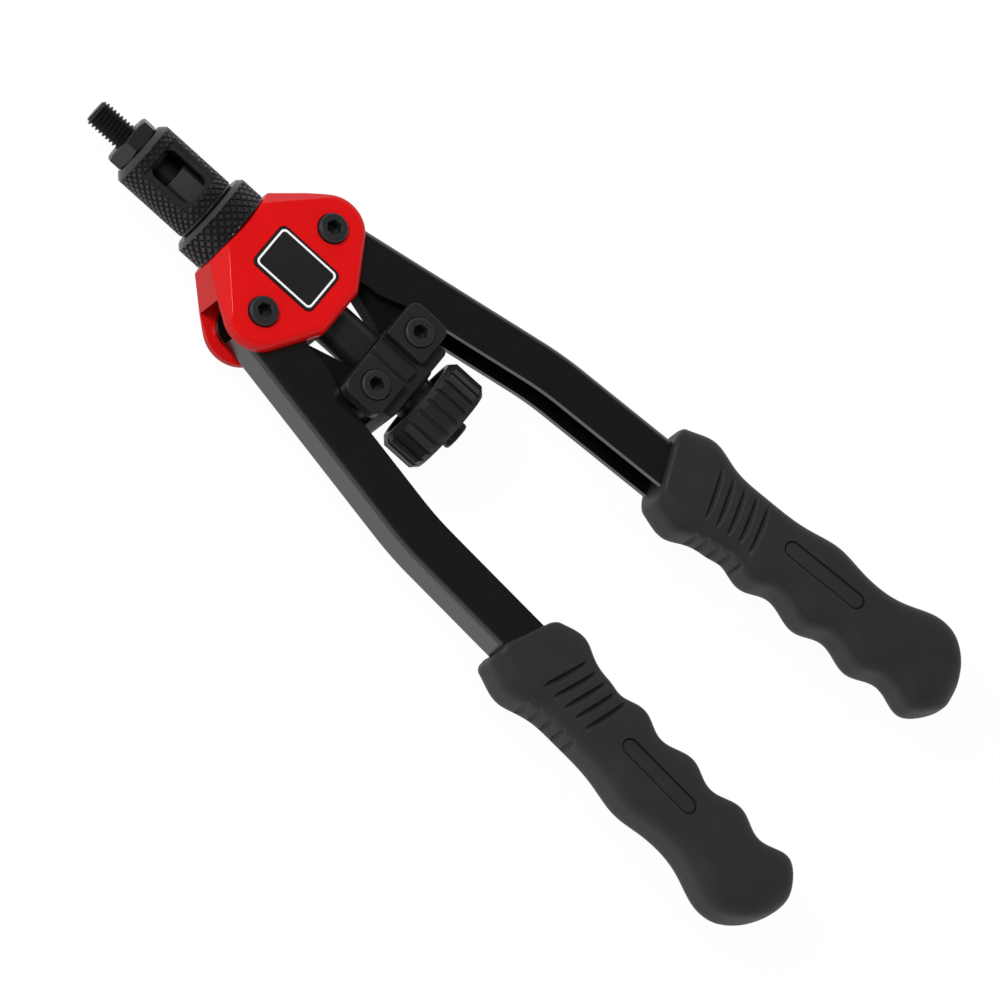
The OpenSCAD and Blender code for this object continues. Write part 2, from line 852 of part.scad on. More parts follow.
// one closed ring of points round the grip
function grip_ring(u, points, lip) =
    let (
        k = shear(u),
        out = (grip_outer(u - lever_w / 2 * k) - lip) * butt(u),
        in = (grip_inner(u + grip_in * k) - lip) * butt(u),
        mid = (out - in) / 2,
        half = (out + in) / 2,
        high = (grip_half - lip) * butt(u)
    )
    [for (i = [0 : points - 1])
        let (a = 360 * i / points, v = mid + half * soft(cos(a), corner_power))
        [u - min(v, lever_w / 2) * k, v, high * soft(sin(a), corner_power)]];

module grip_body() {
    points = 28;
    closing = [for (f = [0.5, 0.37, 0.25, 0.16, 0.08, 0.03, 0.01]) grip_len - f * butt_len];
    stations = [for (i = [1 : 42]) (grip_len - 0.66 * butt_len) * i / 42];
    levels = concat([0, 0.5], stations, closing);
    rings = [for (i = [0 : len(levels) - 1])
        grip_ring(levels[i], points, i == 0 ? 0.9 : i == 1 ? 0.3 : 0)];
    last = len(levels) - 1;
    middle = len(levels) * points;
    polyhedron(
        points = concat([for (r = rings) for (p = r) p], [[0, 0, 0]]),
        faces = concat(
            [for (i = [0 : points - 1]) [i, (i + 1) % points, middle]],
            [for (j = [0 : last - 1]) for (i = [0 : points - 1])
                let (k = (i + 1) % points)
                each [
                    [j * points + i, (j + 1) * points + i, j * points + k],
                    [j * points + k, (j + 1) * points + i, (j + 1) * points + k]
                ]],
            [[for (i = [points - 1 : -1 : 0]) last * points + i]]
        )
    );
}

module grip_shape() {
    difference() {
        translate([knee_point[0], knee_point[1], 0]) rotate([0, 0, tail_angle])
            translate([grip_front, 0, 0]) {
                difference() {
                    grip_body();
                    for (t = sides)
                        translate([recess_x, recess_y, t * grip_half - recess_deep])
                            linear_extrude(2 * recess_deep) {
                                square([recess_len, 2 * recess_r], center = true);
                                for (s = sides) translate([s * recess_len / 2, 0]) circle(recess_r);
                            }
                }
            }
        translate([knee_out[0], knee_out[1], -lever_half - seat_fit]) rotate([0, 0, tail_angle])
            translate([0, -lever_w / 2 - seat_fit, 0])
                cube([tail_len + seat_fit, lever_w + 2 * seat_fit, lever_h + 2 * seat_fit]);
    }
}

module lever_right() { color("#1c1c1d") lever_side_shape(); }
module pivot_bush_right() { color("#a07c3c") pivot_bush_shape(); }
module link_pin_right() { color("#77797c") link_pin_shape(); }
module link_right() { color("#2d2e30") link_shape(); }
module grip_right() { color("#303030") grip_shape(); }
module lever_left() { color("#1c1c1d") on_side(-1) lever_side_shape(); }
module pivot_bush_left() { color("#a07c3c") on_side(-1) pivot_bush_shape(); }
module link_pin_left() { color("#77797c") on_side(-1) link_pin_shape(); }
module link_left() { color("#2d2e30") on_side(-1) link_shape(); }
module grip_left() { color("#303030") on_side(-1) grip_shape(); }

head_casting();
badge_plate();
nose_nipple();
guide_bush();
pivot_screws();
nose_sleeve();
anvil();
lock_ring();
crosshead();
barrel();
crosshead_screws();
thrust_washer();
spindle();
drive_coupling();
mandrel();
knob();
knob_cap();
lever_right();
pivot_bush_right();
link_pin_right();
grip_right();
link_right();
lever_left();
pivot_bush_left();
link_pin_left();
grip_left();
link_left();
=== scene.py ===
"""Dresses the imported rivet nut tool: painted head, knurled nose, pressed levers and rubber grips.

Sizes are millimetres until a mesh is made. +X runs back to the handles, +Y to the right lever, +Z up.
"""
import math
from types import SimpleNamespace

import bmesh
import bpy
from mathutils import Matrix, Vector

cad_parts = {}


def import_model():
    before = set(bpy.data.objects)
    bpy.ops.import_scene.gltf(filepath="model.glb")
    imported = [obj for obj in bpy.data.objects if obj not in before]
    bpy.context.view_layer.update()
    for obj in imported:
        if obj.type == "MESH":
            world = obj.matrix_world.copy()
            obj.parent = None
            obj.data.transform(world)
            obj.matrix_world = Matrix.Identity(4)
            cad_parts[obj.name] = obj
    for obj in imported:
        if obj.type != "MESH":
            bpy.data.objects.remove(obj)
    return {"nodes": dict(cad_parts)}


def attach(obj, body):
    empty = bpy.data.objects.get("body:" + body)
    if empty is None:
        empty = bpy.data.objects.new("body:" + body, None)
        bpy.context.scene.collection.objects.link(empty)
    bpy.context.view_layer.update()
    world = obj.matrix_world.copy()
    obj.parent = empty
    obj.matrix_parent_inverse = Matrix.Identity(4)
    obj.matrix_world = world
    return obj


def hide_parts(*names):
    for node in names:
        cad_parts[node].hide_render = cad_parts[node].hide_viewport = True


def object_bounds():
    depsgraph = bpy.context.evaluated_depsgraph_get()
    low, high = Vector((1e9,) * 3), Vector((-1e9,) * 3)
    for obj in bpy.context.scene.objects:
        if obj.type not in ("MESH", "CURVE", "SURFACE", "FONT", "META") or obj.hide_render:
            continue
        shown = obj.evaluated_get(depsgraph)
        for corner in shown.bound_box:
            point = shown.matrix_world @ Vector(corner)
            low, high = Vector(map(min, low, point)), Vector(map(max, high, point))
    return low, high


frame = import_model()
cad_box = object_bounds()

MM = 0.001
RIGHT, LEFT = 1, -1
UP, DOWN = 1, -1
# PAST is a height beyond every piece, and OVERLAP is how far joined solids run into each other
PAST, OVERLAP = 20, 1
# Points closer than these, in metres, become one
MERGE, CAD_MERGE = 1e-7, 2e-6

# Nose sizes. A knurl has a first and a last station, a count of diamonds round and a step between rows.
SLEEVE_R, SLEEVE_FRONT, SLEEVE_REAR = 10.0, 4.8, 30.2
SLEEVE_BEVEL, SLEEVE_COLLAR_END = 1.6, 6.8
SLEEVE_ROOT_R, SLEEVE_ROOT_FROM, SLEEVE_ROOT_TO = 9.4, 7.1, 29.2
SLEEVE_LIP_FROM, SLEEVE_LIP_TO, SLEEVE_LIP_DROP, SLEEVE_LIP_BEVEL = 29.4, 29.8, 0.2, 0.6
SLEEVE_KNURL = (6.95, 29.3, 26, 1.19)
SPIGOT_HOLE_R, SPIGOT_END = 6.02, 9.5
SLEEVE_BORE_R, NIPPLE_BORE_R, NIPPLE_FRONT = 6.6, 8.05, 25.6
FLAT_FROM, FLAT_TO, FLAT_HEIGHT, FLAT_CORNER = 9.5, 25.5, 7.0, 1.5
WINDOW_FROM, WINDOW_TO, WINDOW_WIDTH, WINDOW_CORNER = 9.9, 25.0, 9.35, 3.0
WINDOW_TURN = math.radians(9)
RING_R, RING_FRONT, RING_REAR = 13.1, 30.4, 39.1
RING_FRONT_BEVEL, RING_REAR_BEVEL, RING_ROOT_R, RING_ROOT_SLOPE = 1.3, 0.5, 12.4, 0.3
RING_KNURL = (RING_FRONT + RING_FRONT_BEVEL, RING_REAR - 0.35, 30, 1.38)
KNURL_SUNK, KNURL_PROUD, KNURL_FOOT = 0.2, 0.06, 0.5
ANVIL_FLATS, ANVIL_DEEP, ANVIL_TURN = 14.5, 4.8, math.radians(30)
ANVIL_FACE_R, ANVIL_EDGE_R, ANVIL_BACK_R = 6.9, 8.6, 7.1
ANVIL_FACE_BEVEL, ANVIL_BACK_BEVEL = 1.0, 0.9
ANVIL_HOLE_R, ANVIL_HOLE_BEVEL, ANVIL_HOLE_END = 4.3, 0.5, 6
ANVIL_SPIGOT_R, ANVIL_SPIGOT_FROM, ANVIL_SPIGOT_END, ANVIL_SPIGOT_BEVEL = 6.0, 4, 11.3, 0.4
THREAD_R, THREAD_PITCH, THREAD_DEEP = 4.0, 1.25, 0.72
THREAD_TIP, THREAD_END, THREAD_TIP_BEVEL = -11.3, 0.6, 0.9
THREAD_PROFILE = ((0.0, 0.0), (0.12, 0.0), (0.44, 1.0), (0.68, 1.0))
THREAD_STEPS, THREAD_LEAD, THREAD_SPARE = 48, 1.2, 3
SHANK_R, SHANK_END, SHANK_LAP = 3.4, 27.0, 0.2

# Head sizes
HEAD_HALF, HEAD_FRONT, HEAD_REAR = 11.4, 39.2, 75.9
HEAD_FRONT_HALF, HEAD_FRONT_LONG, HEAD_REAR_HALF, HEAD_ROUND = 13.7, 6, 9.7, 2.6
HEAD_REAR_R = 1.1 * HEAD_ROUND
LOBE_R = 10.4
CHEEK_X, CHEEK_Y, CHEEK_R = 53.5, 13.9, 9.3
PIVOT_X, PIVOT_Y = 58.85, 16.35
SHOULDER_START = (40.0, 8.5, 11.4)
SHOULDER_TILT, SHOULDER_TURN = math.radians(53), math.radians(138.3)
POCKET_FRONT, POCKET_REAR, POCKET_OUT, POCKET_HALF, HUB_HALF = 47.5, 90, 60, 7.0, 7.9
NIPPLE_SEAT_R, NIPPLE_SEAT_FRONT, GUIDE_SEAT_R = 8.02, 30, 7.12
BADGE_X, BADGE_LONG, BADGE_WIDE, BADGE_CORNER, BADGE_PLAY = 58.25, 21.5, 15.0, 2.0, 0.3
BADGE_FOOT, BADGE_TOP = 10.9, 11.7
BADGE_LINE_INSET, BADGE_LINE_CORNER = 1.5, BADGE_CORNER - 0.5
BADGE_FIELD_INSET, BADGE_FIELD_CORNER = 2.7, BADGE_CORNER - 0.9
BADGE_LINE_SUNK, BADGE_LINE_PROUD = 0.1, 0.08

# Screws
SCREW_HEAD_R, SCREW_HEAD_TALL, SCREW_HEAD_BEVEL = 4.25, 3.6, 0.45
SCREW_R, SCREW_TIP_BEVEL, SCREW_PLAY, SEAT_PLAY = 2.5, 0.4, 0.02, 0.25
SOCKET_FLATS, SOCKET_DEEP, SOCKET_TURN = 4.0, 4.2, math.radians(23)
PIVOT_SCREW_TOP, PIVOT_SCREW_FOOT = 13.0, -11.0
CROSS_X, CROSS_Y = 95.6, 10.3
CROSS_SCREW_TOP, CROSS_SCREW_FOOT = 13.1, -11.8

# Crosshead
PAD_FRONT, PAD_REAR, PAD_HALF, PAD_CORNER = 88.5, 101.9, 17.2, 3.0
PAD_UNDER, PAD_TOP, PAD_SOFT = 7.1, 12.2, 0.6
SADDLE_HALF, SADDLE_TOP, SADDLE_R, SADDLE_GAP, SADDLE_FLOOR = 3.3, 10.9, 4.0, 0.6, 8.7
MIDDLE_HALF, SLOT_HALF, WEB_HALF = 12.4, 3.4, 4.5
WALL_REAR, WALL_HALF, WALL_TALL, WALL_BEVEL, WALL_SOFT = 105.3, 13.2, 9.5, 1.6, 0.6
COLLAR_R, COLLAR_REAR, COLLAR_BEVEL = 9.0, 105.9, 0.5
SPINDLE_HOLE_R, SPINDLE_HOLE_FROM, SPINDLE_HOLE_TO = 3.05, 80, 120

# Levers
LEVER_HALF, LEVER_WIDE, SHEET = 6.75, 13.0, 2.0
BEND_R, BEND_RELIEF = 2.25, 0.6
LEVER_ANGLE, TAIL_ANGLE = math.radians(11.03), math.radians(3.58)
LEVER_SHIFT, KNEE_RUN, KNEE_R, KNEE_STEPS, TAIL_LONG = 1.05, 74.2, 100.0, 14, 98.0
STRAIGHT_RUNS = (0, 3, 20)
EYE_TURN, EYE_STEPS = math.radians(191), 37
SWELL_RUN, SWELL_OUT = 36.0, 1.85
SWELL_STEPS = ((0.79, 0.34), (0.67, 0.77), (0.56, 1.0), (0.45, 0.74))
HOLLOW_REACH = 60
BUSH_HOLE_R, PIN_HOLE_R = 4.02, 2.02
LINK_LONG, LINK_ANGLE = 30.0, math.radians(15.1)

# Grips. Stations run from the grip's front edge, and a hump has a height, a station and a width.
GRIP_FRONT, GRIP_LONG, GRIP_HALF = 40.3, 103.3, 9.8
GRIP_CORNER, GRIP_AROUND = 4.0, 132
GRIP_SLANT, GRIP_SLANT_END = math.radians(15.5), 0.8 * GRIP_LONG
BUTT_SLANT, BUTT_SLANT_FROM = math.radians(6), 0.7 * GRIP_LONG
BUTT_LONG, BUTT_CURVE, BUTT_BLUNT = 12, 2.4, 0.45
GRIP_OUT, OUTER_HUMPS = 11, ((3.8, 7.6, 8), (2.3, 53, 9), (4.9, GRIP_LONG - 15, 11))
GRIP_IN, INNER_HUMP = 9.5, (4.1, 11, 7.5)
FINGER_TALL, FINGER_FIRST, FINGER_STEP, FINGER_FROM, FINGER_FULL = 1.4, 38, 19, 24.7, 35
LIP, LIP_LONG = 0.9, 1.1
FRONT_STATIONS, FINE_STEP, WIDE_STEP, FINE_LEAD = (0.0, 0.25, 0.6, 1.1), 0.2, 0.6, 1.2
BUTT_FROM, BUTT_STATIONS = 8, (6.5, 5.5, 4.5, 3.6, 2.8, 2.1, 1.5, 1.0, 0.6, 0.3, 0.1, 0.02)
GROOVE_FIRST, GROOVE_STEP, GROOVE_COUNT, GROOVE_HALF, GROOVE_DEEP = 16.0, 4.0, 5, 1.1, 1.45
# A face's grooves fade in between two shares of the section and reach this far from the face's middle
FLAT_FADE, FLAT_REACH, FLAT_SHIFT = (0.9, 0.97), 7.4, 0.4
FLANK_FADE, FLANK_REACH, FLANK_SHARE = (0.86, 0.95), 5.8, 0.6
RECESS_AT, RECESS_LONG, RECESS_R, RECESS_DEEP = (53.4, 2.0), 22.6, 2.5, 0.5
RECESS_LINE, RECESS_LINE_DEEP, RECESS_ABOVE = 0.5, 1.1, 2


# Mesh helpers

def new_object(name, data):
    """An object in the scene for a mesh, a camera or a light."""
    made = bpy.data.objects.new(name, data)
    bpy.context.scene.collection.objects.link(made)
    return made


def piece_from(name, points, faces):
    """A mesh object at the origin from points in millimetres, with its faces turned outwards."""
    mesh = bpy.data.meshes.new(name)
    mesh.from_pydata([Vector(p) * MM for p in points], [], faces)
    return point_outwards(new_object(name, mesh))


def point_outwards(piece, merge=MERGE):
    """Merges points that lie together and turns the faces outwards."""
    shape = bmesh.new()
    shape.from_mesh(piece.data)
    bmesh.ops.remove_doubles(shape, verts=shape.verts, dist=merge)
    bmesh.ops.recalc_face_normals(shape, faces=shape.faces)
    shape.to_mesh(piece.data)
    shape.free()
    return piece


def settle(piece):
    """Turns what the piece's modifiers make into its own plain mesh."""
    deps = bpy.context.evaluated_depsgraph_get()
    made = bpy.data.meshes.new_from_object(piece.evaluated_get(deps), depsgraph=deps)
    piece.modifiers.clear()
    old = piece.data
    piece.data = made
    bpy.data.meshes.remove(old)
    made.name = piece.name
    return piece


def cut(piece, tool, operation="DIFFERENCE"):
    """Cuts the tool's volume out of the piece, joins it on or keeps what both share, and removes the tool."""
    step = piece.modifiers.new("cut", "BOOLEAN")
    step.object = tool
    step.operation = operation
    step.solver = "EXACT"
    settle(piece)
    bpy.data.objects.remove(tool)
    return piece


def soften(piece, wide, angle=40, steps=2):
    """Rounds the edges that are sharper than the angle."""
    point_outwards(piece, CAD_MERGE)
    step = piece.modifiers.new("soften", "BEVEL")
    step.width = wide * MM
    step.segments = steps
    step.limit_method = "ANGLE"
    step.angle_limit = math.radians(angle)
    step.miter_outer = "MITER_ARC"
    return settle(piece)


def shade(piece, angle=32):
    """Smooth shading, broken at edges sharper than the angle, with flat faces kept flat."""
    piece.data.shade_smooth()
    piece.data.set_sharp_from_angle(angle=math.radians(angle))
    step = piece.modifiers.new("even", "WEIGHTED_NORMAL")
    step.keep_sharp = True
    return settle(piece)


def joined(name, pieces):
    """One object from several."""
    shape = bmesh.new()
    for part in pieces:
        shape.from_mesh(part.data)
    mesh = bpy.data.meshes.new(name)
    shape.to_mesh(mesh)
    shape.free()
    for part in pieces:
        bpy.data.objects.remove(part)
    return new_object(name, mesh)


def turned(name, outline, steps=128):
    """A piece turned about the tool's axis from an outline of (radius, station)."""
    points, rings, faces = [], [], []
    for radius, station in outline:
        count = steps if radius > 0 else 1
        rings.append([len(points) + i for i in range(count)])
        for i in range(count):
            a = math.tau * i / count
            points.append((station, radius * math.cos(a), radius * math.sin(a)))
    for here, after in zip(rings, rings[1:] + rings[:1]):
        if len(here) == 1 and len(after) == 1:
            continue
        for i in range(steps):
            k = (i + 1) % steps
            if len(here) == 1:
                faces.append((here[0], after[i], after[k]))
            elif len(after) == 1:
                faces.append((here[i], after[0], here[k]))
            else:
                faces.append((here[i], after[i], after[k], here[k]))
    return piece_from(name, points, faces)


def upright(name, outline, foot, top):
    """A prism that stands on a plan outline."""
    count = len(outline)
    points = [(x, y, foot) for x, y in outline] + [(x, y, top) for x, y in outline]
    faces = [tuple(range(count)), tuple(range(count, 2 * count))]
    faces += [(i, (i + 1) % count, count + (i + 1) % count, count + i) for i in range(count)]
    return piece_from(name, points, faces)


def round_plan(mid, long, wide, corner, steps=10):
    """Outline of a rectangle with round corners about a middle point."""
    outline = []
    for sx, sy, start in ((1, 1, 0), (-1, 1, 90), (-1, -1, 180), (1, -1, 270)):
        for i in range(steps + 1):
            a = math.radians(start + 90 * i / steps)
            outline.append((mid[0] + sx * (long / 2 - corner) + corner * math.cos(a),
                            mid[1] + sy * (wide / 2 - corner) + corner * math.sin(a)))
    return outline


def circle_plan(mid, radius, steps=64):
    """Outline of a circle, or of a regular polygon when the steps are few."""
    return [(mid[0] + radius * math.cos(math.tau * i / steps),
             mid[1] + radius * math.sin(math.tau * i / steps)) for i in range(steps)]


def hexagon_plan(flats):
    """Outline of a hexagon by its width across flats."""
    return circle_plan((0, 0), flats / 2 / math.cos(math.radians(30)), steps=6)


def drill(piece, spot, radius, floor=-PAST, steps=64):
    """Cuts a round upright hole from a floor level out through the top."""
    return cut(piece, upright("drill", circle_plan(spot, radius, steps), floor, PAST))


def rolled(piece, angle):
    """The piece turned about the tool's axis, with the turn in its mesh."""
    piece.data.transform(Matrix.Rotation(angle, 4, "X"))
    return piece


def copy_of(node, name):
    """A merged copy of a CAD node whose flat faces are whole again."""
    mesh = frame["nodes"][node].data.copy()
    mesh.name = name
    mesh.materials.clear()
    shape = bmesh.new()
    shape.from_mesh(mesh)
    bmesh.ops.remove_doubles(shape, verts=shape.verts, dist=CAD_MERGE)
    bmesh.ops.dissolve_degenerate(shape, edges=shape.edges, dist=CAD_MERGE / 2)
    bmesh.ops.dissolve_limit(shape, angle_limit=math.radians(0.6), verts=shape.verts, edges=shape.edges)
    shape.to_mesh(mesh)
    shape.free()
    return new_object(name, mesh)


# Node helpers

def feed(node, **values):
    """Sets a node's inputs; an underscore in a name stands for a space."""
    for label, value in values.items():
        node.inputs[label.replace("_", " ")].default_value = value


def calc(tree, operation, first, second=None):
    """A math node in a geometry or shader tree; each input is a number or a socket."""
    node = tree.nodes.new("ShaderNodeMath")
    node.operation = operation
    for socket, value in zip(node.inputs, (first, second)):
        if isinstance(value, (int, float)):
            socket.default_value = value
        elif value is not None:
            tree.links.new(value, socket)
    return node.outputs[0]


def new_tree(name, inputs):
    """A geometry tree with named inputs; returns it, its in and out nodes and the inputs' identifiers."""
    tree = bpy.data.node_groups.new(name, "GeometryNodeTree")
    tree.interface.new_socket("Geometry", in_out="INPUT", socket_type="NodeSocketGeometry")
    keys = {}
    for label, kind in inputs:
        keys[label] = tree.interface.new_socket(label, in_out="INPUT", socket_type=kind).identifier
    tree.interface.new_socket("Geometry", in_out="OUTPUT", socket_type="NodeSocketGeometry")
    return tree, tree.nodes.new("NodeGroupInput"), tree.nodes.new("NodeGroupOutput"), keys


def grow(piece, tree, keys, values):
    """Runs a geometry tree on a piece and keeps the result as a plain mesh."""
    step = piece.modifiers.new(tree.name, "NODES")
    step.node_group = tree
    for label, value in values.items():
        step[keys[label]] = value
    return settle(piece)


def end_tree(tree, shape, finish, leave):
    """Realize Instances and Set Material at the end of a tree."""
    link = tree.links.new
    solid = tree.nodes.new("GeometryNodeRealizeInstances")
    paint = tree.nodes.new("GeometryNodeSetMaterial")
    link(shape, solid.inputs["Geometry"])
    link(solid.outputs["Geometry"], paint.inputs["Geometry"])
    link(finish, paint.inputs["Material"])
    link(paint.outputs["Geometry"], leave.inputs[0])


def knurl_tree():
    """Lays a diamond round a cylinder in staggered rows."""
    tree, enter, leave, keys = new_tree("knurl_wrap", (
        ("Around", "NodeSocketInt"), ("Rows", "NodeSocketInt"), ("Radius", "NodeSocketFloat"),
        ("First row", "NodeSocketFloat"), ("Row step", "NodeSocketFloat"), ("Finish", "NodeSocketMaterial")))
    values, link = enter.outputs, tree.links.new
    index = tree.nodes.new("GeometryNodeInputIndex").outputs[0]
    row = calc(tree, "FLOOR", calc(tree, "DIVIDE", index, values["Around"]))
    stagger = calc(tree, "MULTIPLY", calc(tree, "MODULO", row, 2.0), 0.5)
    place = calc(tree, "ADD", calc(tree, "MODULO", index, values["Around"]), stagger)
    angle = calc(tree, "DIVIDE", calc(tree, "MULTIPLY", place, math.tau), values["Around"])
    along = calc(tree, "ADD", calc(tree, "MULTIPLY", row, values["Row step"]), values["First row"])
    side = calc(tree, "MULTIPLY", calc(tree, "SINE", angle), values["Radius"])
    height = calc(tree, "MULTIPLY", calc(tree, "COSINE", angle), values["Radius"])
    spot = tree.nodes.new("ShaderNodeCombineXYZ")
    link(along, spot.inputs["X"])
    link(calc(tree, "MULTIPLY", side, -1.0), spot.inputs["Y"])
    link(height, spot.inputs["Z"])
    spots = tree.nodes.new("GeometryNodePoints")
    link(calc(tree, "MULTIPLY", values["Around"], values["Rows"]), spots.inputs["Count"])
    link(spot.outputs[0], spots.inputs["Position"])
    lean = tree.nodes.new("ShaderNodeCombineXYZ")
    link(angle, lean.inputs["X"])
    lay = tree.nodes.new("GeometryNodeInstanceOnPoints")
    link(spots.outputs[0], lay.inputs["Points"])
    link(values["Geometry"], lay.inputs["Instance"])
    link(lean.outputs[0], lay.inputs["Rotation"])
    end_tree(tree, lay.outputs[0], values["Finish"], leave)
    return tree, keys


def screw_tree():
    """Puts a screw on each point and turns every next one a little further."""
    tree, enter, leave, keys = new_tree("screw_set", (
        ("Screw", "NodeSocketObject"), ("Turn step", "NodeSocketFloat"), ("Finish", "NodeSocketMaterial")))
    values, link = enter.outputs, tree.links.new
    blank = tree.nodes.new("GeometryNodeObjectInfo")
    link(values["Screw"], blank.inputs["Object"])
    index = tree.nodes.new("GeometryNodeInputIndex").outputs[0]
    lean = tree.nodes.new("ShaderNodeCombineXYZ")
    link(calc(tree, "MULTIPLY", index, values["Turn step"]), lean.inputs["Z"])
    lay = tree.nodes.new("GeometryNodeInstanceOnPoints")
    link(values["Geometry"], lay.inputs["Points"])
    link(blank.outputs["Geometry"], lay.inputs["Instance"])
    link(lean.outputs[0], lay.inputs["Rotation"])
    end_tree(tree, lay.outputs[0], values["Finish"], leave)
    return tree, keys


# Finishes

COAT_ROUGH, GRAIN_TALL = 0.06, 0.0002
NOISE_LOW, NOISE_HIGH = 0.3, 0.7


def srgb(red, green, blue):
    """An everyday 0 to 255 colour as the shader's own numbers."""
    return tuple(c / 3294.6 if c <= 10 else ((c / 255 + 0.055) / 1.055) ** 2.4 for c in (red, green, blue))


def texture(tree, kind, scale, stretch=(1, 1, 1)):
    """A texture node on the piece's own coordinates, stretched along the axes."""
    where = tree.nodes.new("ShaderNodeTexCoord")
    mapping = tree.nodes.new("ShaderNodeMapping")
    feed(mapping, Scale=stretch)
    node = tree.nodes.new(kind)
    feed(node, Scale=scale)
    tree.links.new(where.outputs["Object"], mapping.inputs["Vector"])
    tree.links.new(mapping.outputs["Vector"], node.inputs["Vector"])
    return node


def between(tree, noise, low, high):
    """Spreads a noise over a range from low to high."""
    node = tree.nodes.new("ShaderNodeMapRange")
    feed(node, From_Min=NOISE_LOW, From_Max=NOISE_HIGH, To_Min=low, To_Max=high)
    tree.links.new(noise, node.inputs["Value"])
    return node.outputs[0]


def finish(name, colour, spread, rough, grain, bump, metal=0.0, specular=0.3, coat=0.0,
           patch=90.0, stretch=(1, 1, 1), speckle=None):
    """A finish whose colour and roughness drift over the piece, with a grain of its own in the surface.

    Patch, grain and speckle are texture scales, and bump is the strength of the grain's relief.
    """
    made = bpy.data.materials.new(name)
    made.use_nodes = True
    tree = made.node_tree
    link = tree.links.new
    shader = tree.nodes["Principled BSDF"]
    feed(shader, Metallic=metal, Specular_IOR_Level=specular, Coat_Weight=coat, Coat_Roughness=COAT_ROUGH)
    drift = texture(tree, "ShaderNodeTexNoise", patch)
    feed(drift, Detail=4.0)
    tone = tree.nodes.new("ShaderNodeMix")
    tone.data_type = "RGBA"
    feed(tone, A=(*[c * (1 - spread) for c in colour], 1), B=(*[c * (1 + spread) for c in colour], 1))
    link(between(tree, drift.outputs["Fac"], 0.0, 1.0), tone.inputs["Factor"])
    link(tone.outputs["Result"], shader.inputs["Base Color"])
    fine = texture(tree, "ShaderNodeTexNoise", grain, stretch)
    feed(fine, Detail=3.0)
    link(between(tree, fine.outputs["Fac"], *rough), shader.inputs["Roughness"])
    height = fine.outputs["Fac"]
    if speckle:
        cells = texture(tree, "ShaderNodeTexVoronoi", speckle)
        height = calc(tree, "ADD", calc(tree, "MULTIPLY", height, 0.5), cells.outputs["Distance"])
    relief = tree.nodes.new("ShaderNodeBump")
    feed(relief, Strength=bump, Distance=GRAIN_TALL)
    link(height, relief.inputs["Height"])
    link(relief.outputs["Normal"], shader.inputs["Normal"])
    return made


RED_PAINT = finish("red_paint", srgb(212, 19, 21), 0.04, (0.16, 0.22), 900, 0.03, specular=0.0, coat=0.35)
LEVER_BLACK = finish("lever_black", srgb(11, 11, 11), 0.12, (0.18, 0.24), 1100, 0.01, specular=0.8)
CAST_BLACK = finish("cast_black", srgb(34, 34, 35), 0.12, (0.34, 0.44), 2600, 0.08, specular=0.25)
KNOB_BLACK = finish("knob_black", srgb(34, 34, 35), 0.15, (0.3, 0.4), 2200, 0.06, specular=0.25)
SCREW_BLACK = finish("screw_black", srgb(36, 37, 38), 0.12, (0.3, 0.42), 2200, 0.05, specular=0.4)
THREAD_BLACK = finish("thread_black", srgb(20, 20, 21), 0.15, (0.3, 0.4), 1800, 0.05, specular=0.25)
NOSE_BLACK = finish("nose_black", srgb(29, 29, 30), 0.15, (0.28, 0.38), 1500, 0.05, specular=0.55,
                    stretch=(4, 1, 1))
LINK_BLACK = finish("link_black", srgb(20, 20, 21), 0.15, (0.36, 0.48), 1500, 0.06, specular=0.05)
GRIP_RUBBER = finish("grip_rubber", srgb(45, 45, 45), 0.06, (0.42, 0.52), 1800, 0.08, specular=0.18,
                     speckle=2400)
BRIGHT_STEEL = finish("bright_steel", srgb(150, 152, 155), 0.06, (0.22, 0.36), 1600, 0.05, metal=1.0,
                      specular=0.5, stretch=(5, 1, 1))
COUPLING_STEEL = finish("coupling_steel", srgb(46, 46, 47), 0.1, (0.3, 0.42), 1400, 0.05, specular=0.4)
GREY_STEEL = finish("grey_steel", srgb(40, 41, 42), 0.1, (0.3, 0.44), 1400, 0.06, specular=0.4)
BUSH_BRONZE = finish("bush_bronze", srgb(164, 124, 62), 0.12, (0.34, 0.5), 1200, 0.1, metal=1.0,
                     specular=0.5)
BADGE_BLACK = finish("badge_black", srgb(28, 28, 29), 0.12, (0.36, 0.48), 2400, 0.08)
BADGE_WHITE = finish("badge_white", srgb(242, 242, 242), 0.02, (0.4, 0.5), 1500, 0.04)


def dress(piece, body, paint, slot, *nodes):
    """Paints a piece, hangs it on its body and lets it stand for the CAD nodes."""
    if len(piece.data.materials) == 0:
        piece.data.materials.append(paint)
    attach(piece, body)
    if nodes:
        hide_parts(*nodes)


# Nose

def diamond(name, wide, long, tall, sunk):
    """A knurl diamond with a flat top, long along the tool and wide round it."""
    levels = ((-sunk, 0.95), (0.0, 0.95), (0.7 * tall, 0.66), (tall, 0.48))
    points = [(dx * long / 2 * f, dy * wide / 2 * f, z)
              for z, f in levels for dx, dy in ((1, 0), (0, 1), (-1, 0), (0, -1))]
    faces = [(0, 1, 2, 3), (12, 13, 14, 15)]
    for level in range(0, 12, 4):
        faces += [(level + i, level + (i + 1) % 4, level + 4 + (i + 1) % 4, level + 4 + i) for i in range(4)]
    return piece_from(name, points, faces)


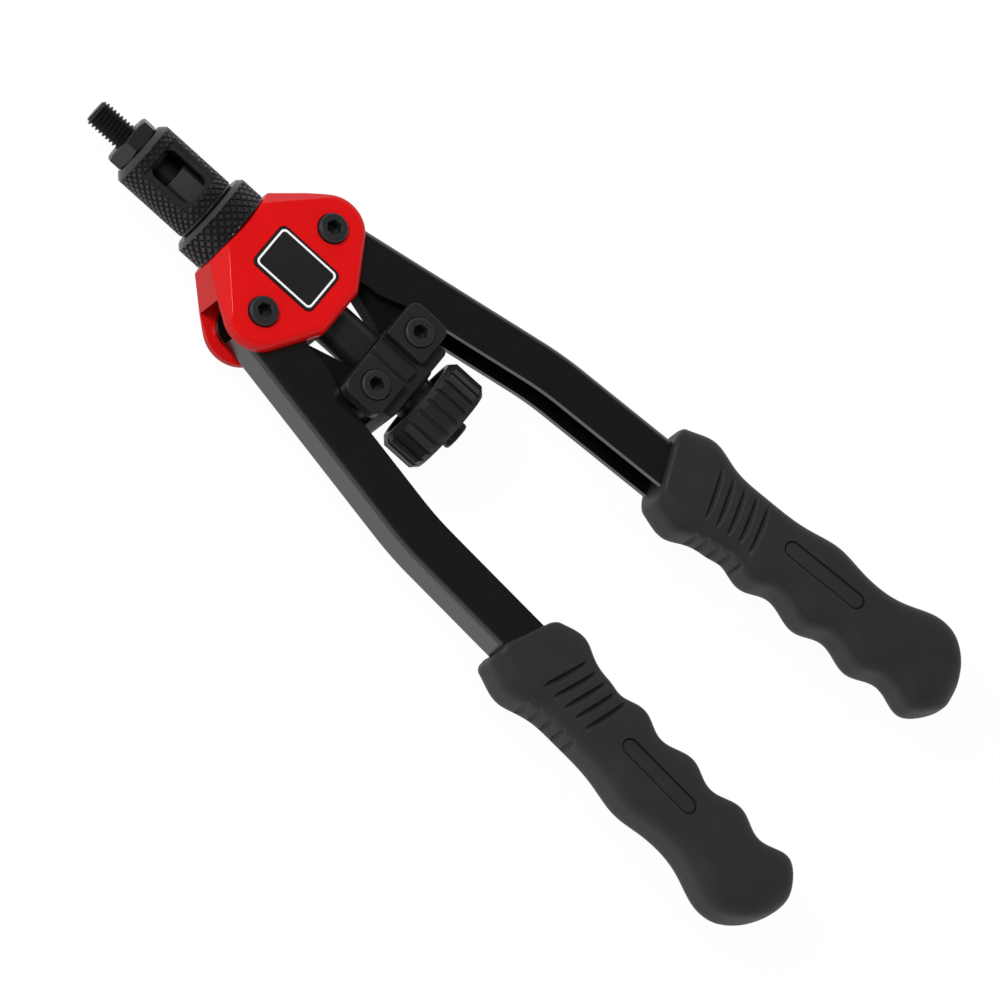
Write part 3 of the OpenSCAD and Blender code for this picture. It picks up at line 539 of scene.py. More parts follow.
def knurl(name, radius, root, first, last, around, row_step):
    """Diamonds between two stations, trimmed to the outside radius and to the stations."""
    blank = diamond(name, math.tau * (root - KNURL_SUNK) / around, 2 * row_step,
                    radius - root + KNURL_PROUD, KNURL_SUNK)
    rows = int((last - first) / row_step) + 2
    grow(blank, *KNURL, {"Around": around, "Rows": rows, "Radius": root * MM, "First row": first * MM,
                         "Row step": row_step * MM, "Finish": NOSE_BLACK})
    foot = root - KNURL_FOOT
    band = turned("band", ((foot, first), (radius, first), (radius, last), (foot, last)))
    return cut(blank, band, "INTERSECT")


def flat_cut():
    """A tool for the flat round the sleeve's window."""
    plan = round_plan(((FLAT_FROM + FLAT_TO) / 2, 0), FLAT_TO - FLAT_FROM, 4 * SLEEVE_R, FLAT_CORNER)
    return rolled(upright("flat", plan, FLAT_HEIGHT, 2 * SLEEVE_R), WINDOW_TURN)


def window_cut():
    """A tool for the window in the sleeve's wall."""
    mid = ((WINDOW_FROM + WINDOW_TO) / 2, 0)
    plan = round_plan(mid, WINDOW_TO - WINDOW_FROM, WINDOW_WIDTH, WINDOW_CORNER)
    return rolled(upright("window", plan, 0, 2 * SLEEVE_R), WINDOW_TURN)


def nose_sleeve():
    body = turned("nose_sleeve_body", (
        (SPIGOT_HOLE_R, SLEEVE_FRONT), (SLEEVE_R - SLEEVE_BEVEL, SLEEVE_FRONT),
        (SLEEVE_R, SLEEVE_FRONT + SLEEVE_BEVEL), (SLEEVE_R, SLEEVE_COLLAR_END),
        (SLEEVE_ROOT_R, SLEEVE_ROOT_FROM), (SLEEVE_ROOT_R, SLEEVE_ROOT_TO),
        (SLEEVE_R - SLEEVE_LIP_DROP, SLEEVE_LIP_FROM), (SLEEVE_R - SLEEVE_LIP_DROP, SLEEVE_LIP_TO),
        (SLEEVE_R - SLEEVE_LIP_BEVEL, SLEEVE_REAR), (NIPPLE_BORE_R, SLEEVE_REAR),
        (NIPPLE_BORE_R, NIPPLE_FRONT), (SLEEVE_BORE_R, NIPPLE_FRONT),
        (SLEEVE_BORE_R, SPIGOT_END), (SPIGOT_HOLE_R, SPIGOT_END)))
    cut(body, flat_cut())
    cut(body, window_cut())
    shade(soften(body, wide=0.18))
    teeth = knurl("sleeve_knurl", SLEEVE_R, SLEEVE_ROOT_R, *SLEEVE_KNURL)
    cut(teeth, flat_cut())
    whole = joined("nose_sleeve_knurled", (body, teeth))
    dress(whole, "sleeve", NOSE_BLACK, "black_steel", "nose_sleeve")


def lock_ring():
    body = turned("lock_ring_body", (
        (NIPPLE_BORE_R, RING_FRONT), (RING_R - RING_FRONT_BEVEL, RING_FRONT),
        (RING_R, RING_FRONT + RING_FRONT_BEVEL),
        (RING_ROOT_R, RING_FRONT + RING_FRONT_BEVEL + RING_ROOT_SLOPE),
        (RING_ROOT_R, RING_REAR - RING_REAR_BEVEL), (RING_R - RING_REAR_BEVEL, RING_REAR),
        (NIPPLE_BORE_R, RING_REAR)))
    shade(soften(body, wide=0.15, angle=20))
    teeth = knurl("ring_knurl", RING_R, RING_ROOT_R, *RING_KNURL)
    whole = joined("lock_ring_knurled", (body, teeth))
    dress(whole, "ring", NOSE_BLACK, "black_steel", "lock_ring")


def anvil():
    body = upright("anvil_hexagon", hexagon_plan(ANVIL_FLATS), 0, ANVIL_DEEP)
    body.data.transform(Matrix.Rotation(ANVIL_TURN, 4, "X") @ Matrix.Rotation(math.radians(90), 4, "Y"))
    cut(body, turned("anvil_bevels", (
        (0, 0), (ANVIL_FACE_R, 0), (ANVIL_EDGE_R, ANVIL_FACE_BEVEL),
        (ANVIL_EDGE_R, ANVIL_DEEP - ANVIL_BACK_BEVEL), (ANVIL_BACK_R, ANVIL_DEEP), (0, ANVIL_DEEP))),
        "INTERSECT")
    mouth_r = ANVIL_HOLE_R + ANVIL_HOLE_BEVEL
    cut(body, turned("anvil_hole", (
        (0, -OVERLAP), (mouth_r, -OVERLAP), (mouth_r, 0), (ANVIL_HOLE_R, ANVIL_HOLE_BEVEL),
        (ANVIL_HOLE_R, ANVIL_HOLE_END), (0, ANVIL_HOLE_END)), steps=64))
    shade(soften(body, wide=0.12))
    spigot = turned("anvil_spigot", (
        (ANVIL_HOLE_R, ANVIL_SPIGOT_FROM), (ANVIL_SPIGOT_R, ANVIL_SPIGOT_FROM),
        (ANVIL_SPIGOT_R, ANVIL_SPIGOT_END - ANVIL_SPIGOT_BEVEL),
        (ANVIL_SPIGOT_R - ANVIL_SPIGOT_BEVEL, ANVIL_SPIGOT_END), (ANVIL_HOLE_R, ANVIL_SPIGOT_END)))
    dress(joined("anvil_nut", (body, shade(spigot))), "sleeve", NOSE_BLACK, "black_steel", "anvil")


def mandrel():
    """A real helix: every row of points climbs one pitch a turn, so crests and roots are true lines."""
    steps, shift = THREAD_STEPS, len(THREAD_PROFILE)
    turns = int((THREAD_END - THREAD_TIP) / THREAD_PITCH) + THREAD_SPARE
    start = THREAD_TIP - THREAD_LEAD * THREAD_PITCH
    rows = turns * shift
    points, faces = [], []
    for row in range(rows):
        part, high = THREAD_PROFILE[row % shift]
        radius = THREAD_R - THREAD_DEEP * (1 - high)
        for i in range(steps):
            a = math.tau * i / steps
            station = start + THREAD_PITCH * (row // shift + part + i / steps)
            points.append((station, radius * math.cos(a), radius * math.sin(a)))
    for row in range(rows - 1):
        for i in range(steps):
            k, climb = (i + 1) % steps, shift if i == steps - 1 else 0
            if row + climb + 1 < rows:
                faces.append((row * steps + i, (row + climb) * steps + k,
                              (row + climb + 1) * steps + k, (row + 1) * steps + i))
    body = piece_from("mandrel_screw", points, faces)
    close_ends(body)
    cut(body, turned("mandrel_bar", (
        (0, THREAD_TIP), (THREAD_R - THREAD_TIP_BEVEL, THREAD_TIP), (THREAD_R, THREAD_TIP + THREAD_TIP_BEVEL),
        (THREAD_R, THREAD_END), (0, THREAD_END)), steps=96), "INTERSECT")
    shade(body, angle=38)
    shank_from = THREAD_END - SHANK_LAP
    shank = turned("mandrel_shank", (
        (0, shank_from), (SHANK_R, shank_from), (SHANK_R, SHANK_END), (0, SHANK_END)), steps=64)
    dress(joined("mandrel_threaded", (body, shade(shank))), "spindle", THREAD_BLACK, "black_steel", "mandrel")


def close_ends(piece):
    """Closes each open rim of a mesh with a fan to a point on the tool's axis."""
    shape = bmesh.new()
    shape.from_mesh(piece.data)
    open_edges = {e for e in shape.edges if e.is_boundary}
    while open_edges:
        rim, todo = [], [open_edges.pop()]
        while todo:
            edge = todo.pop()
            rim.append(edge)
            for corner in edge.verts:
                near = [e for e in corner.link_edges if e in open_edges]
                open_edges.difference_update(near)
                todo += near
        corners = {c for e in rim for c in e.verts}
        middle = sum((c.co for c in corners), Vector()) / len(corners)
        hub = shape.verts.new((middle.x, 0, 0))
        for edge in rim:
            shape.faces.new((*edge.verts, hub))
    bmesh.ops.recalc_face_normals(shape, faces=shape.faces)
    shape.to_mesh(piece.data)
    shape.free()


# Head

def head_levels(steps=7):
    """Inset and height of each level of the casting's rounded edge."""
    for i in range(steps + 1):
        a = math.radians(90 * i / steps)
        yield HEAD_ROUND * (1 - math.cos(a)), HEAD_HALF - HEAD_ROUND * (1 - math.sin(a))


def head_points():
    """Points on the outline of every level, above and below."""
    for inset, height in head_levels():
        plan = []
        for side in (RIGHT, LEFT):
            plan += circle_plan((PIVOT_X, side * PIVOT_Y), LOBE_R - inset, steps=96)
            plan += circle_plan((CHEEK_X, side * CHEEK_Y), CHEEK_R - inset, steps=96)
            rear = (HEAD_REAR - HEAD_REAR_R, side * (HEAD_REAR_HALF - HEAD_ROUND))
            plan += circle_plan(rear, HEAD_REAR_R - inset, steps=48)
            for x in (HEAD_FRONT + inset / 3, HEAD_FRONT + HEAD_FRONT_LONG):
                plan.append((x, side * (HEAD_FRONT_HALF - inset)))
        for x, y in plan:
            yield (x, y, height)
            yield (x, y, -height)


def head_body():
    """The casting's outside: the hull of its rounded levels, with the four shoulders cut off."""
    piece = piece_from("head_shell", [], [])
    shape = bmesh.new()
    for point in head_points():
        shape.verts.new(Vector(point) * MM)
    hull = bmesh.ops.convex_hull(shape, input=shape.verts)
    loose = {g for g in hull["geom_interior"] + hull["geom_unused"] if isinstance(g, bmesh.types.BMVert)}
    bmesh.ops.delete(shape, geom=list(loose), context="VERTS")
    for side in (RIGHT, LEFT):
        for up in (UP, DOWN):
            facing = Vector((math.sin(SHOULDER_TILT) * math.cos(SHOULDER_TURN),
                             side * math.sin(SHOULDER_TILT) * math.sin(SHOULDER_TURN),
                             up * math.cos(SHOULDER_TILT)))
            spot = Vector((SHOULDER_START[0], side * SHOULDER_START[1], up * SHOULDER_START[2])) * MM
            made = bmesh.ops.bisect_plane(
                shape, geom=shape.verts[:] + shape.edges[:] + shape.faces[:], dist=MERGE,
                plane_co=spot, plane_no=facing, clear_outer=True)
            rim = [g for g in made["geom_cut"] if isinstance(g, bmesh.types.BMEdge)]
            bmesh.ops.contextual_create(shape, geom=rim)
    bmesh.ops.dissolve_limit(shape, angle_limit=math.radians(0.4), verts=shape.verts, edges=shape.edges)
    bmesh.ops.recalc_face_normals(shape, faces=shape.faces)
    shape.to_mesh(piece.data)
    shape.free()
    return piece


def badge_plan(inset, corner):
    return round_plan((BADGE_X, 0), BADGE_LONG - inset, BADGE_WIDE - inset, corner)


def head():
    body = soften(head_body(), wide=1.5, angle=24, steps=5)
    for side in (RIGHT, LEFT):
        near, far = side * HUB_HALF, side * POCKET_OUT
        pocket = ((POCKET_FRONT, near), (POCKET_REAR, near), (POCKET_REAR, far), (POCKET_FRONT, far))
        cut(body, upright("pocket", pocket, -POCKET_HALF, POCKET_HALF))
        pivot = (PIVOT_X, side * PIVOT_Y)
        drill(body, pivot, SCREW_R + SCREW_PLAY)
        drill(body, pivot, SCREW_HEAD_R + SEAT_PLAY, floor=PIVOT_SCREW_TOP - SCREW_HEAD_TALL)
    cut(body, turned("nipple_bore", (
        (0, NIPPLE_SEAT_FRONT), (NIPPLE_SEAT_R, NIPPLE_SEAT_FRONT), (NIPPLE_SEAT_R, POCKET_FRONT),
        (GUIDE_SEAT_R, POCKET_FRONT), (GUIDE_SEAT_R, POCKET_REAR), (0, POCKET_REAR))))
    cut(body, upright("badge_seat", badge_plan(-BADGE_PLAY, BADGE_CORNER), BADGE_FOOT, PAST))
    shade(soften(body, wide=0.28, angle=42))
    body.name = "head_painted"
    dress(body, "head", RED_PAINT, "red_paint", "head_casting")


def badge():
    """A plain black plate with a white frame line."""
    plate = upright("badge_plate_black", badge_plan(0, BADGE_CORNER), BADGE_FOOT, BADGE_TOP)
    dress(shade(soften(plate, wide=0.2)), "head", BADGE_BLACK, "badge", "badge_plate")
    line = upright("badge_line_white", badge_plan(BADGE_LINE_INSET, BADGE_LINE_CORNER),
                   BADGE_TOP - BADGE_LINE_SUNK, BADGE_TOP + BADGE_LINE_PROUD)
    cut(line, upright("badge_field", badge_plan(BADGE_FIELD_INSET, BADGE_FIELD_CORNER), 0, PAST))
    dress(shade(soften(line, wide=0.05)), "head", BADGE_WHITE, "badge")


# Screws

def screw_blank(top, foot):
    """A socket-head screw on the upright axis, its head at the top level."""
    under = top - SCREW_HEAD_TALL
    outline = ((0, foot), (SCREW_R - SCREW_TIP_BEVEL, foot), (SCREW_R, foot + SCREW_TIP_BEVEL),
               (SCREW_R, under), (SCREW_HEAD_R, under), (SCREW_HEAD_R, top - SCREW_HEAD_BEVEL),
               (SCREW_HEAD_R - SCREW_HEAD_BEVEL, top), (0, top))
    body = turned("screw_blank", outline, steps=64)
    body.data.transform(Matrix.Rotation(math.radians(-90), 4, "Y"))
    cut(body, upright("socket", hexagon_plan(SOCKET_FLATS), top - SOCKET_DEEP, top + OVERLAP))
    return shade(soften(body, wide=0.1))


def screws(name, spots, top, foot, body, node):
    """A set of equal screws, one on each spot."""
    blank = screw_blank(top, foot)
    row = piece_from(name, [(x, y, 0) for x, y in spots], [])
    grow(row, *SCREWS, {"Screw": blank, "Turn step": SOCKET_TURN, "Finish": SCREW_BLACK})
    bpy.data.objects.remove(blank)
    dress(row, body, SCREW_BLACK, "black_steel", node)


# Crosshead

def crosshead():
    """The sliding block: pads above and below, a round saddle between them, a rear wall and a collar."""
    mid, long = ((PAD_FRONT + PAD_REAR) / 2, 0), PAD_REAR - PAD_FRONT
    web = round_plan(mid, long, 2 * WEB_HALF, corner=0.5)
    middle = round_plan(mid, long, 2 * MIDDLE_HALF, corner=0.3)
    channel = round_plan(mid, 2 * long, 2 * (SADDLE_HALF + SADDLE_GAP), corner=0.1)
    strip = round_plan(mid, 2 * long, 2 * SADDLE_HALF, corner=0.1)
    body = upright("crosshead_cast", web, -SLOT_HALF - OVERLAP, SLOT_HALF + OVERLAP)
    for up in (UP, DOWN):
        pad = upright("pad", round_plan(mid, long, 2 * PAD_HALF, PAD_CORNER), PAD_UNDER, PAD_TOP)
        cut(pad, upright("channel", channel, SADDLE_FLOOR, PAST))
        block = upright("block", middle, SLOT_HALF, PAD_UNDER + OVERLAP)
        saddle = turned("saddle", (
            (0, PAD_FRONT), (SADDLE_R, PAD_FRONT), (SADDLE_R, PAD_REAR), (0, PAD_REAR)))
        saddle.data.transform(Matrix.Translation((0, 0, (SADDLE_TOP - SADDLE_R) * MM)))
        cut(saddle, upright("strip", strip, SLOT_HALF, PAST), "INTERSECT")
        for part in (soften(pad, PAD_SOFT, steps=4), block, soften(saddle, wide=0.3)):
            if up == DOWN:
                part.data.transform(Matrix.Rotation(math.pi, 4, "X"))
            cut(body, part, "UNION")
    wall = round_plan(((PAD_REAR + WALL_REAR) / 2 - OVERLAP / 2, 0), WALL_REAR - PAD_REAR + OVERLAP,
                      2 * WALL_HALF, WALL_BEVEL, steps=4)
    cut(body, soften(upright("wall", wall, -WALL_TALL, WALL_TALL), WALL_SOFT), "UNION")
    collar_from = PAD_REAR - OVERLAP
    cut(body, turned("collar", (
        (0, collar_from), (COLLAR_R, collar_from), (COLLAR_R, COLLAR_REAR - COLLAR_BEVEL),
        (COLLAR_R - COLLAR_BEVEL, COLLAR_REAR), (0, COLLAR_REAR))), "UNION")
    cut(body, turned("spindle_hole", (
        (0, SPINDLE_HOLE_FROM), (SPINDLE_HOLE_R, SPINDLE_HOLE_FROM), (SPINDLE_HOLE_R, SPINDLE_HOLE_TO),
        (0, SPINDLE_HOLE_TO)), steps=64))
    for side in (RIGHT, LEFT):
        spot = (CROSS_X, side * CROSS_Y)
        drill(body, spot, SCREW_R + SCREW_PLAY)
        drill(body, spot, SCREW_HEAD_R + SEAT_PLAY, floor=CROSS_SCREW_TOP - SCREW_HEAD_TALL)
    dress(shade(body), "crosshead", CAST_BLACK, "matte_black", "crosshead")


# Levers

def lever_plan():
    """Points and directions that the lever's plan is drawn from, on the right side."""
    along = Vector((math.cos(LEVER_ANGLE), math.sin(LEVER_ANGLE)))
    across = Vector((-along.y, along.x))
    tail = Vector((math.cos(TAIL_ANGLE), math.sin(TAIL_ANGLE)))
    pivot = Vector((PIVOT_X, PIVOT_Y))
    line = pivot + LEVER_SHIFT * across
    tangent = KNEE_R * math.tan((LEVER_ANGLE - TAIL_ANGLE) / 2)
    knee = line + KNEE_RUN * along
    return SimpleNamespace(
        pivot=pivot, line=line, along=along, across=across, tail=tail, tail_across=Vector((-tail.y, tail.x)),
        knee_centre=line + (KNEE_RUN - tangent) * along - KNEE_R * across,
        end=knee + (tangent + TAIL_LONG) * tail, grip_start=knee + GRIP_FRONT * tail)


PLAN = lever_plan()


def side_line(off, start):
    """The lever's edge at a distance from its middle line, from a start past the pivot to the tail's end."""
    points = [PLAN.line + (start + run) * PLAN.along + off * PLAN.across for run in STRAIGHT_RUNS]
    for i in range(KNEE_STEPS + 1):
        a = LEVER_ANGLE + (TAIL_ANGLE - LEVER_ANGLE) * i / KNEE_STEPS
        points.append(PLAN.knee_centre + (KNEE_R + off) * Vector((-math.sin(a), math.cos(a))))
    points.append(PLAN.end + off * PLAN.tail_across)
    return points


def on_side(points, side):
    """Points of the right side, mirrored for the left."""
    return [(p[0], side * p[1]) for p in points]


def lever(side, name, body_name, node):
    """A channel of bent sheet with a round eye and a swelling for the link's pin."""
    half = LEVER_WIDE / 2
    outer = side_line(half, 0)
    inner = side_line(-half, SWELL_RUN)[::-1]
    swell = [PLAN.line + run * SWELL_RUN * PLAN.along - (half + out * SWELL_OUT) * PLAN.across
             for run, out in SWELL_STEPS]
    turn = [LEVER_ANGLE + math.pi / 2 + EYE_TURN * (1 - i / EYE_STEPS) for i in range(EYE_STEPS)]
    eye = [PLAN.pivot + (half + LEVER_SHIFT) * Vector((math.cos(a), math.sin(a))) for a in turn]
    body = upright(name, on_side(outer + inner + swell + eye, side), -LEVER_HALF, LEVER_HALF)
    bend(body, on_side(outer, side))
    web_in = half - SHEET
    behind = PLAN.end + HOLLOW_REACH * PLAN.tail
    hollow = side_line(web_in, BEND_RELIEF) + [
        behind + web_in * PLAN.tail_across, behind - HOLLOW_REACH * PLAN.tail_across,
        PLAN.pivot - Vector((HOLLOW_REACH, HOLLOW_REACH)), PLAN.pivot + Vector((-HOLLOW_REACH, HOLLOW_REACH)),
        PLAN.line + BEND_RELIEF * PLAN.along + HOLLOW_REACH * PLAN.across]
    cut(body, upright("hollow", on_side(hollow, side), SHEET - LEVER_HALF, LEVER_HALF - SHEET))
    pin = Vector((CROSS_X, CROSS_Y)) + LINK_LONG * Vector((-math.cos(LINK_ANGLE), math.sin(LINK_ANGLE)))
    drill(body, (PLAN.pivot.x, side * PLAN.pivot.y), BUSH_HOLE_R)
    drill(body, (pin.x, side * pin.y), PIN_HOLE_R, steps=48)
    shade(soften(body, wide=0.3))
    dress(body, body_name, LEVER_BLACK, "gloss_black", node)


def bend(piece, outer):
    """Rounds the two long outer edges as a press brake leaves them."""
    near = 1e-6
    spots = [Vector((x, y)) * MM for x, y in outer]
    shape = bmesh.new()
    shape.from_mesh(piece.data)
    on_line = {v for v in shape.verts for s in spots if (v.co.xy - s).length < near}
    edges = [e for e in shape.edges if all(v in on_line for v in e.verts)
             and abs(e.verts[0].co.z - e.verts[1].co.z) < near]
    bmesh.ops.bevel(shape, geom=edges, offset=BEND_R * MM, segments=8, profile=0.5, affect="EDGES")
    shape.to_mesh(piece.data)
    shape.free()


# Grips

def hump(u, tall, mid, wide):
    """Height of a smooth swelling at a station."""
    return tall * math.exp(-((u - mid) / wide) ** 2)


def ramp(u, start, end):
    """A smooth step from 0 at the start to 1 at the end."""
    s = min(1, max(0, (u - start) / (end - start)))
    return s * s * (3 - 2 * s)


def butt(u):
    """Share of the full section that the round butt leaves at a station."""
    s = max(0, (u - GRIP_LONG + BUTT_LONG) / BUTT_LONG)
    return max(0, 1 - s ** BUTT_CURVE) ** BUTT_BLUNT


def shear(u):
    """Slant of the front edge, which dies out, and the butt's own slant."""
    front = math.tan(GRIP_SLANT + TAIL_ANGLE) * max(0, 1 - u / GRIP_SLANT_END)
    return front + math.tan(BUTT_SLANT) * ramp(u, BUTT_SLANT_FROM, GRIP_LONG)


def grip_outer(u):
    """Distance of the palm side from the lever's middle line."""
    out = GRIP_OUT
    for swelling in OUTER_HUMPS:
        out += hump(u, *swelling)
    return out


def grip_inner(u):
    """Distance of the finger side from the lever's middle line."""
    wave = FINGER_TALL * math.cos(math.tau * (u - FINGER_FIRST) / FINGER_STEP)
    return GRIP_IN + hump(u, *INNER_HUMP) + wave * ramp(u, FINGER_FROM, FINGER_FULL)


def soft(c):
    """A sine or cosine bent so that the section is a square with round corners."""
    return math.copysign(abs(c) ** (2 / GRIP_CORNER), c)


def even_angles(count, fine_steps=4000):
    """Angles that space a grip ring's points evenly along its outline."""
    fine = [math.tau * i / fine_steps for i in range(fine_steps + 1)]
    run = [0.0]
    for a, b in zip(fine, fine[1:]):
        run.append(run[-1] + math.hypot(soft(math.cos(b)) - soft(math.cos(a)),
                                        soft(math.sin(b)) - soft(math.sin(a))))
    angles, at = [], 0
    for i in range(count):
        while run[at + 1] < run[-1] * i / count:
            at += 1
        angles.append(fine[at])
    return angles


def groove(u, place, reach):
    """Depth of the five grooves: steep in front, easy behind, with pointed ends at the reach."""
    lens = 1 - (place / reach) ** 2
    if lens <= 0.02:
        return 0.0
    for i in range(GROOVE_COUNT):
        t = (u - GROOVE_FIRST - i * GROOVE_STEP) / GROOVE_HALF + 1
        if 0 < t < 2:
            return GROOVE_DEEP * lens ** 0.4 * ramp(t, 0, 0.4) * (1 - ramp(t, 0.4, 0.5 + 1.5 * lens ** 0.5))
    return 0.0


def grip_ring(u, angles, lip):
    """One closed ring round the grip, with the grooves pressed into its four faces."""
    k, close = shear(u), butt(u)
    out = (grip_outer(u - LEVER_WIDE / 2 * k) - lip) * close
    inn = (grip_inner(u + GRIP_IN * k) - lip) * close
    mid, half, high = (out - inn) / 2, (out + inn) / 2, (GRIP_HALF - lip) * close
    ring = []
    for a in angles:
        c, s = soft(math.cos(a)), soft(math.sin(a))
        v, z = mid + half * c, high * s
        if abs(s) > FLAT_FADE[0]:
            z -= math.copysign(groove(u, v - FLAT_SHIFT, FLAT_REACH) * ramp(abs(s), *FLAT_FADE), s)
        elif abs(c) > FLANK_FADE[0]:
            v -= math.copysign(FLANK_SHARE * groove(u, z, FLANK_REACH) * ramp(abs(c), *FLANK_FADE), c)
        ring.append((u - min(v, LEVER_WIDE / 2) * k, v, z))
    return ring


def grip_stations():
    """Stations along the grip, close together where the grooves and the ends are."""
    groove_end = GROOVE_FIRST + GROOVE_STEP * GROOVE_COUNT
    stations = list(FRONT_STATIONS)
    while stations[-1] < GRIP_LONG - BUTT_FROM:
        u = stations[-1]
        stations.append(u + (FINE_STEP if GROOVE_FIRST - FINE_LEAD < u < groove_end else WIDE_STEP))
    return stations + [GRIP_LONG - d for d in BUTT_STATIONS]


def grip(side, name, body_name, node):
    """A moulded grip: rings from its front edge to its butt, with a recess above and one below."""
    angles, stations = even_angles(GRIP_AROUND), grip_stations()
    count, start = len(angles), PLAN.grip_start
    points, faces = [], []
    for u in stations:
        lip = LIP * max(0, 1 - u / LIP_LONG) ** 2
        for x, v, z in grip_ring(u, angles, lip):
            spot = start + x * PLAN.tail + v * PLAN.tail_across
            points.append((spot.x, side * spot.y, z))
    for j in range(len(stations) - 1):
        for i in range(count):
            k = (i + 1) % count
            faces.append((j * count + i, (j + 1) * count + i, (j + 1) * count + k, j * count + k))
    last = (len(stations) - 1) * count
    faces += [(i, (i + 1) % count, len(points)) for i in range(count)]
    faces.append(tuple(range(last, last + count)))
    points.append((start.x, side * start.y, 0))
    body = piece_from(name, points, faces)
    for up in (UP, DOWN):
        rim = grip_recess(side, up, RECESS_R, RECESS_LINE_DEEP)
        cut(rim, grip_recess(side, up, RECESS_R - RECESS_LINE, 2 * RECESS_LINE_DEEP))
        cut(body, rim)
        cut(body, grip_recess(side, up, RECESS_R, RECESS_DEEP))
    shade(body, angle=50)
    dress(body, body_name, GRIP_RUBBER, "grip_rubber", node)


def grip_recess(side, up, radius, deep):
    """A tool for the long shallow recess in a grip's flat face."""
    mid = PLAN.grip_start + RECESS_AT[0] * PLAN.tail + RECESS_AT[1] * PLAN.tail_across
    plan = round_plan((0, 0), RECESS_LONG + 2 * radius, 2 * radius, radius - 0.01, steps=16)
    spots = [mid + x * PLAN.tail + y * PLAN.tail_across for x, y in plan]
    near, far = up * (GRIP_HALF - deep), up * (GRIP_HALF + RECESS_ABOVE)
    return upright("recess", on_side(spots, side), min(near, far), max(near, far))


# Pieces that keep the CAD's shape, with their edges eased

def eased(node, name, body, wide, paint, slot):
    piece = soften(copy_of(node, name), wide)
    dress(shade(piece), body, paint, slot, node)


KNURL, SCREWS = knurl_tree(), screw_tree()

nose_sleeve()
lock_ring()
anvil()
mandrel()
head()
badge()
screws("pivot_screw_pair", ((PIVOT_X, PIVOT_Y), (PIVOT_X, -PIVOT_Y)), PIVOT_SCREW_TOP, PIVOT_SCREW_FOOT,
       "head", "pivot_screws")
screws("crosshead_screw_pair", ((CROSS_X, CROSS_Y), (CROSS_X, -CROSS_Y)), CROSS_SCREW_TOP, CROSS_SCREW_FOOT,
       "crosshead", "crosshead_screws")
for side, word in ((RIGHT, "right"), (LEFT, "left")):
    lever(side, f"lever_{word}_pressed", f"{word}_lever", f"lever_{word}")
    grip(side, f"grip_{word}_moulded", f"{word}_lever", f"grip_{word}")
    eased(f"link_{word}", f"link_{word}_plates", f"{word}_link", 0.15, LINK_BLACK, "black_steel")
crosshead()
eased("knob", "knob_fluted", "spindle", 0.2, KNOB_BLACK, "matte_black")
eased("knob_cap", "knob_cap_turned", "spindle", 0.25, KNOB_BLACK, "matte_black")
eased("barrel", "barrel_turned", "crosshead", 0.2, KNOB_BLACK, "black_steel")
eased("drive_coupling", "drive_coupling_hexagon", "spindle", 0.2, COUPLING_STEEL, "black_steel")

# The other CAD nodes show as they are and only take a finish
for node, paint in (
        ("nose_nipple", GREY_STEEL), ("guide_bush", BUSH_BRONZE), ("thrust_washer", GREY_STEEL),
        ("spindle", BRIGHT_STEEL), ("pivot_bush_right", BUSH_BRONZE), ("pivot_bush_left", BUSH_BRONZE),
        ("link_pin_right", GREY_STEEL), ("link_pin_left", GREY_STEEL)):
    mesh = frame["nodes"][node].data
    mesh.materials.clear()
    mesh.materials.append(paint)


# Studio

CAMERA_RIGHT = Vector((0.73896, 0.57974, 0.34328))
CAMERA_UP = Vector((-0.66771, 0.69822, 0.25819))
CAMERA_BACK = Vector((-0.09, -0.42, 0.90305))
CAMERA_TARGET = Vector((143.36, -5.32, 0.0)) * MM
CAMERA_FAR, SENSOR, FRAME_WIDE = 8.0, 36.0, 0.275
FILL, CEILING, CEILING_FROM, CEILING_FULL = 0.6, 0.1, 0.05, 0.75
FLOOR_SEEN, FLOOR_MIRROR, FLOOR_GLOW, FLOOR_GREY, FLOOR_HALF = 0.92, 0.6, 1.05, 0.5, 4000
LAMP_AT, LAMP_SIZE, LAMP_POWER = Vector((-0.5, -0.16, 0.82)), 0.3, 6.0


def camera():
    """A far camera with a long lens, so that the view is close to a parallel one."""
    lens = bpy.data.cameras.new("photo_camera")
    lens.sensor_width = SENSOR
    lens.lens = SENSOR * CAMERA_FAR / FRAME_WIDE
    eye = new_object("photo_camera", lens)
    turn = Matrix((CAMERA_RIGHT, CAMERA_UP, CAMERA_BACK)).transposed().to_4x4()
    eye.matrix_world = Matrix.Translation(CAMERA_TARGET + CAMERA_FAR * CAMERA_BACK) @ turn
    bpy.context.scene.camera = eye


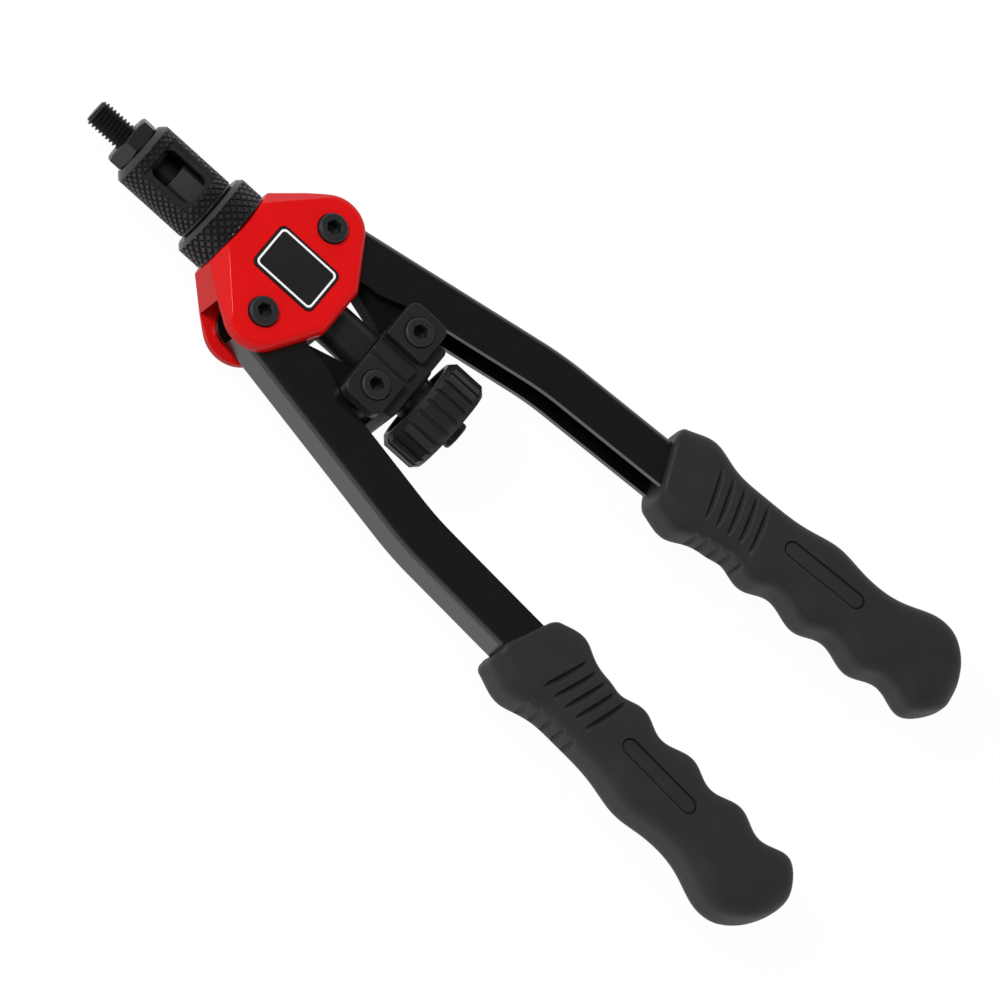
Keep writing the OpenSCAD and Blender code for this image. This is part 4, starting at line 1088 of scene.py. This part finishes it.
def world():
    """White where the camera sees it, an even fill, and for mirror rays a dark ceiling over white walls."""
    room = bpy.data.worlds.new("white_studio")
    bpy.context.scene.world = room
    room.use_nodes = True
    tree = room.node_tree
    link = tree.links.new
    path = tree.nodes.new("ShaderNodeLightPath")
    where = tree.nodes.new("ShaderNodeTexCoord")
    split = tree.nodes.new("ShaderNodeSeparateXYZ")
    link(where.outputs["Generated"], split.inputs[0])
    ceiling = tree.nodes.new("ShaderNodeMapRange")
    feed(ceiling, From_Min=CEILING_FROM, From_Max=CEILING_FULL, To_Min=1.0, To_Max=CEILING)
    link(split.outputs["Z"], ceiling.inputs["Value"])
    seen = calc(tree, "MULTIPLY", path.outputs["Is Camera Ray"], 1.0 - FILL)
    above_fill = calc(tree, "SUBTRACT", ceiling.outputs[0], FILL)
    mirror = calc(tree, "MULTIPLY", path.outputs["Is Glossy Ray"], above_fill)
    light = tree.nodes["Background"]
    feed(light, Color=(1, 1, 1, 1))
    link(calc(tree, "ADD", calc(tree, "ADD", seen, mirror), FILL), light.inputs["Strength"])


def floor():
    """A white sheet that is bright to the eye and still takes the tool's shadow."""
    low, half = cad_box[0][2] / MM, FLOOR_HALF
    ground = piece_from("studio_floor", [(-half, -half, low), (half, -half, low), (half, half, low),
                                         (-half, half, low)], [(0, 1, 2, 3)])
    paint = bpy.data.materials.new("floor_white")
    paint.use_nodes = True
    tree = paint.node_tree
    link = tree.links.new
    tree.nodes.remove(tree.nodes["Principled BSDF"])
    matt = tree.nodes.new("ShaderNodeBsdfDiffuse")
    feed(matt, Color=(FLOOR_GREY, FLOOR_GREY, FLOOR_GREY, 1))
    glow = tree.nodes.new("ShaderNodeEmission")
    feed(glow, Strength=FLOOR_GLOW)
    path = tree.nodes.new("ShaderNodeLightPath")
    seen = calc(tree, "MULTIPLY", path.outputs["Is Camera Ray"], FLOOR_SEEN)
    mirror = calc(tree, "MULTIPLY", path.outputs["Is Glossy Ray"], FLOOR_MIRROR)
    mix = tree.nodes.new("ShaderNodeMixShader")
    link(calc(tree, "ADD", seen, mirror), mix.inputs[0])
    link(matt.outputs[0], mix.inputs[1])
    link(glow.outputs[0], mix.inputs[2])
    link(mix.outputs[0], tree.nodes["Material Output"].inputs["Surface"])
    ground.data.materials.append(paint)


def lamp(name):
    """A square soft box that faces the tool."""
    light = bpy.data.lights.new(name, "AREA")
    light.size = LAMP_SIZE
    light.energy = LAMP_POWER
    box = new_object(name, light)
    turn = (CAMERA_TARGET - LAMP_AT).to_track_quat("-Z", "Y").to_matrix().to_4x4()
    box.matrix_world = Matrix.Translation(LAMP_AT) @ turn


camera()
world()
floor()
lamp("soft_box_nose")
bpy.context.scene.view_settings.view_transform = "Standard"
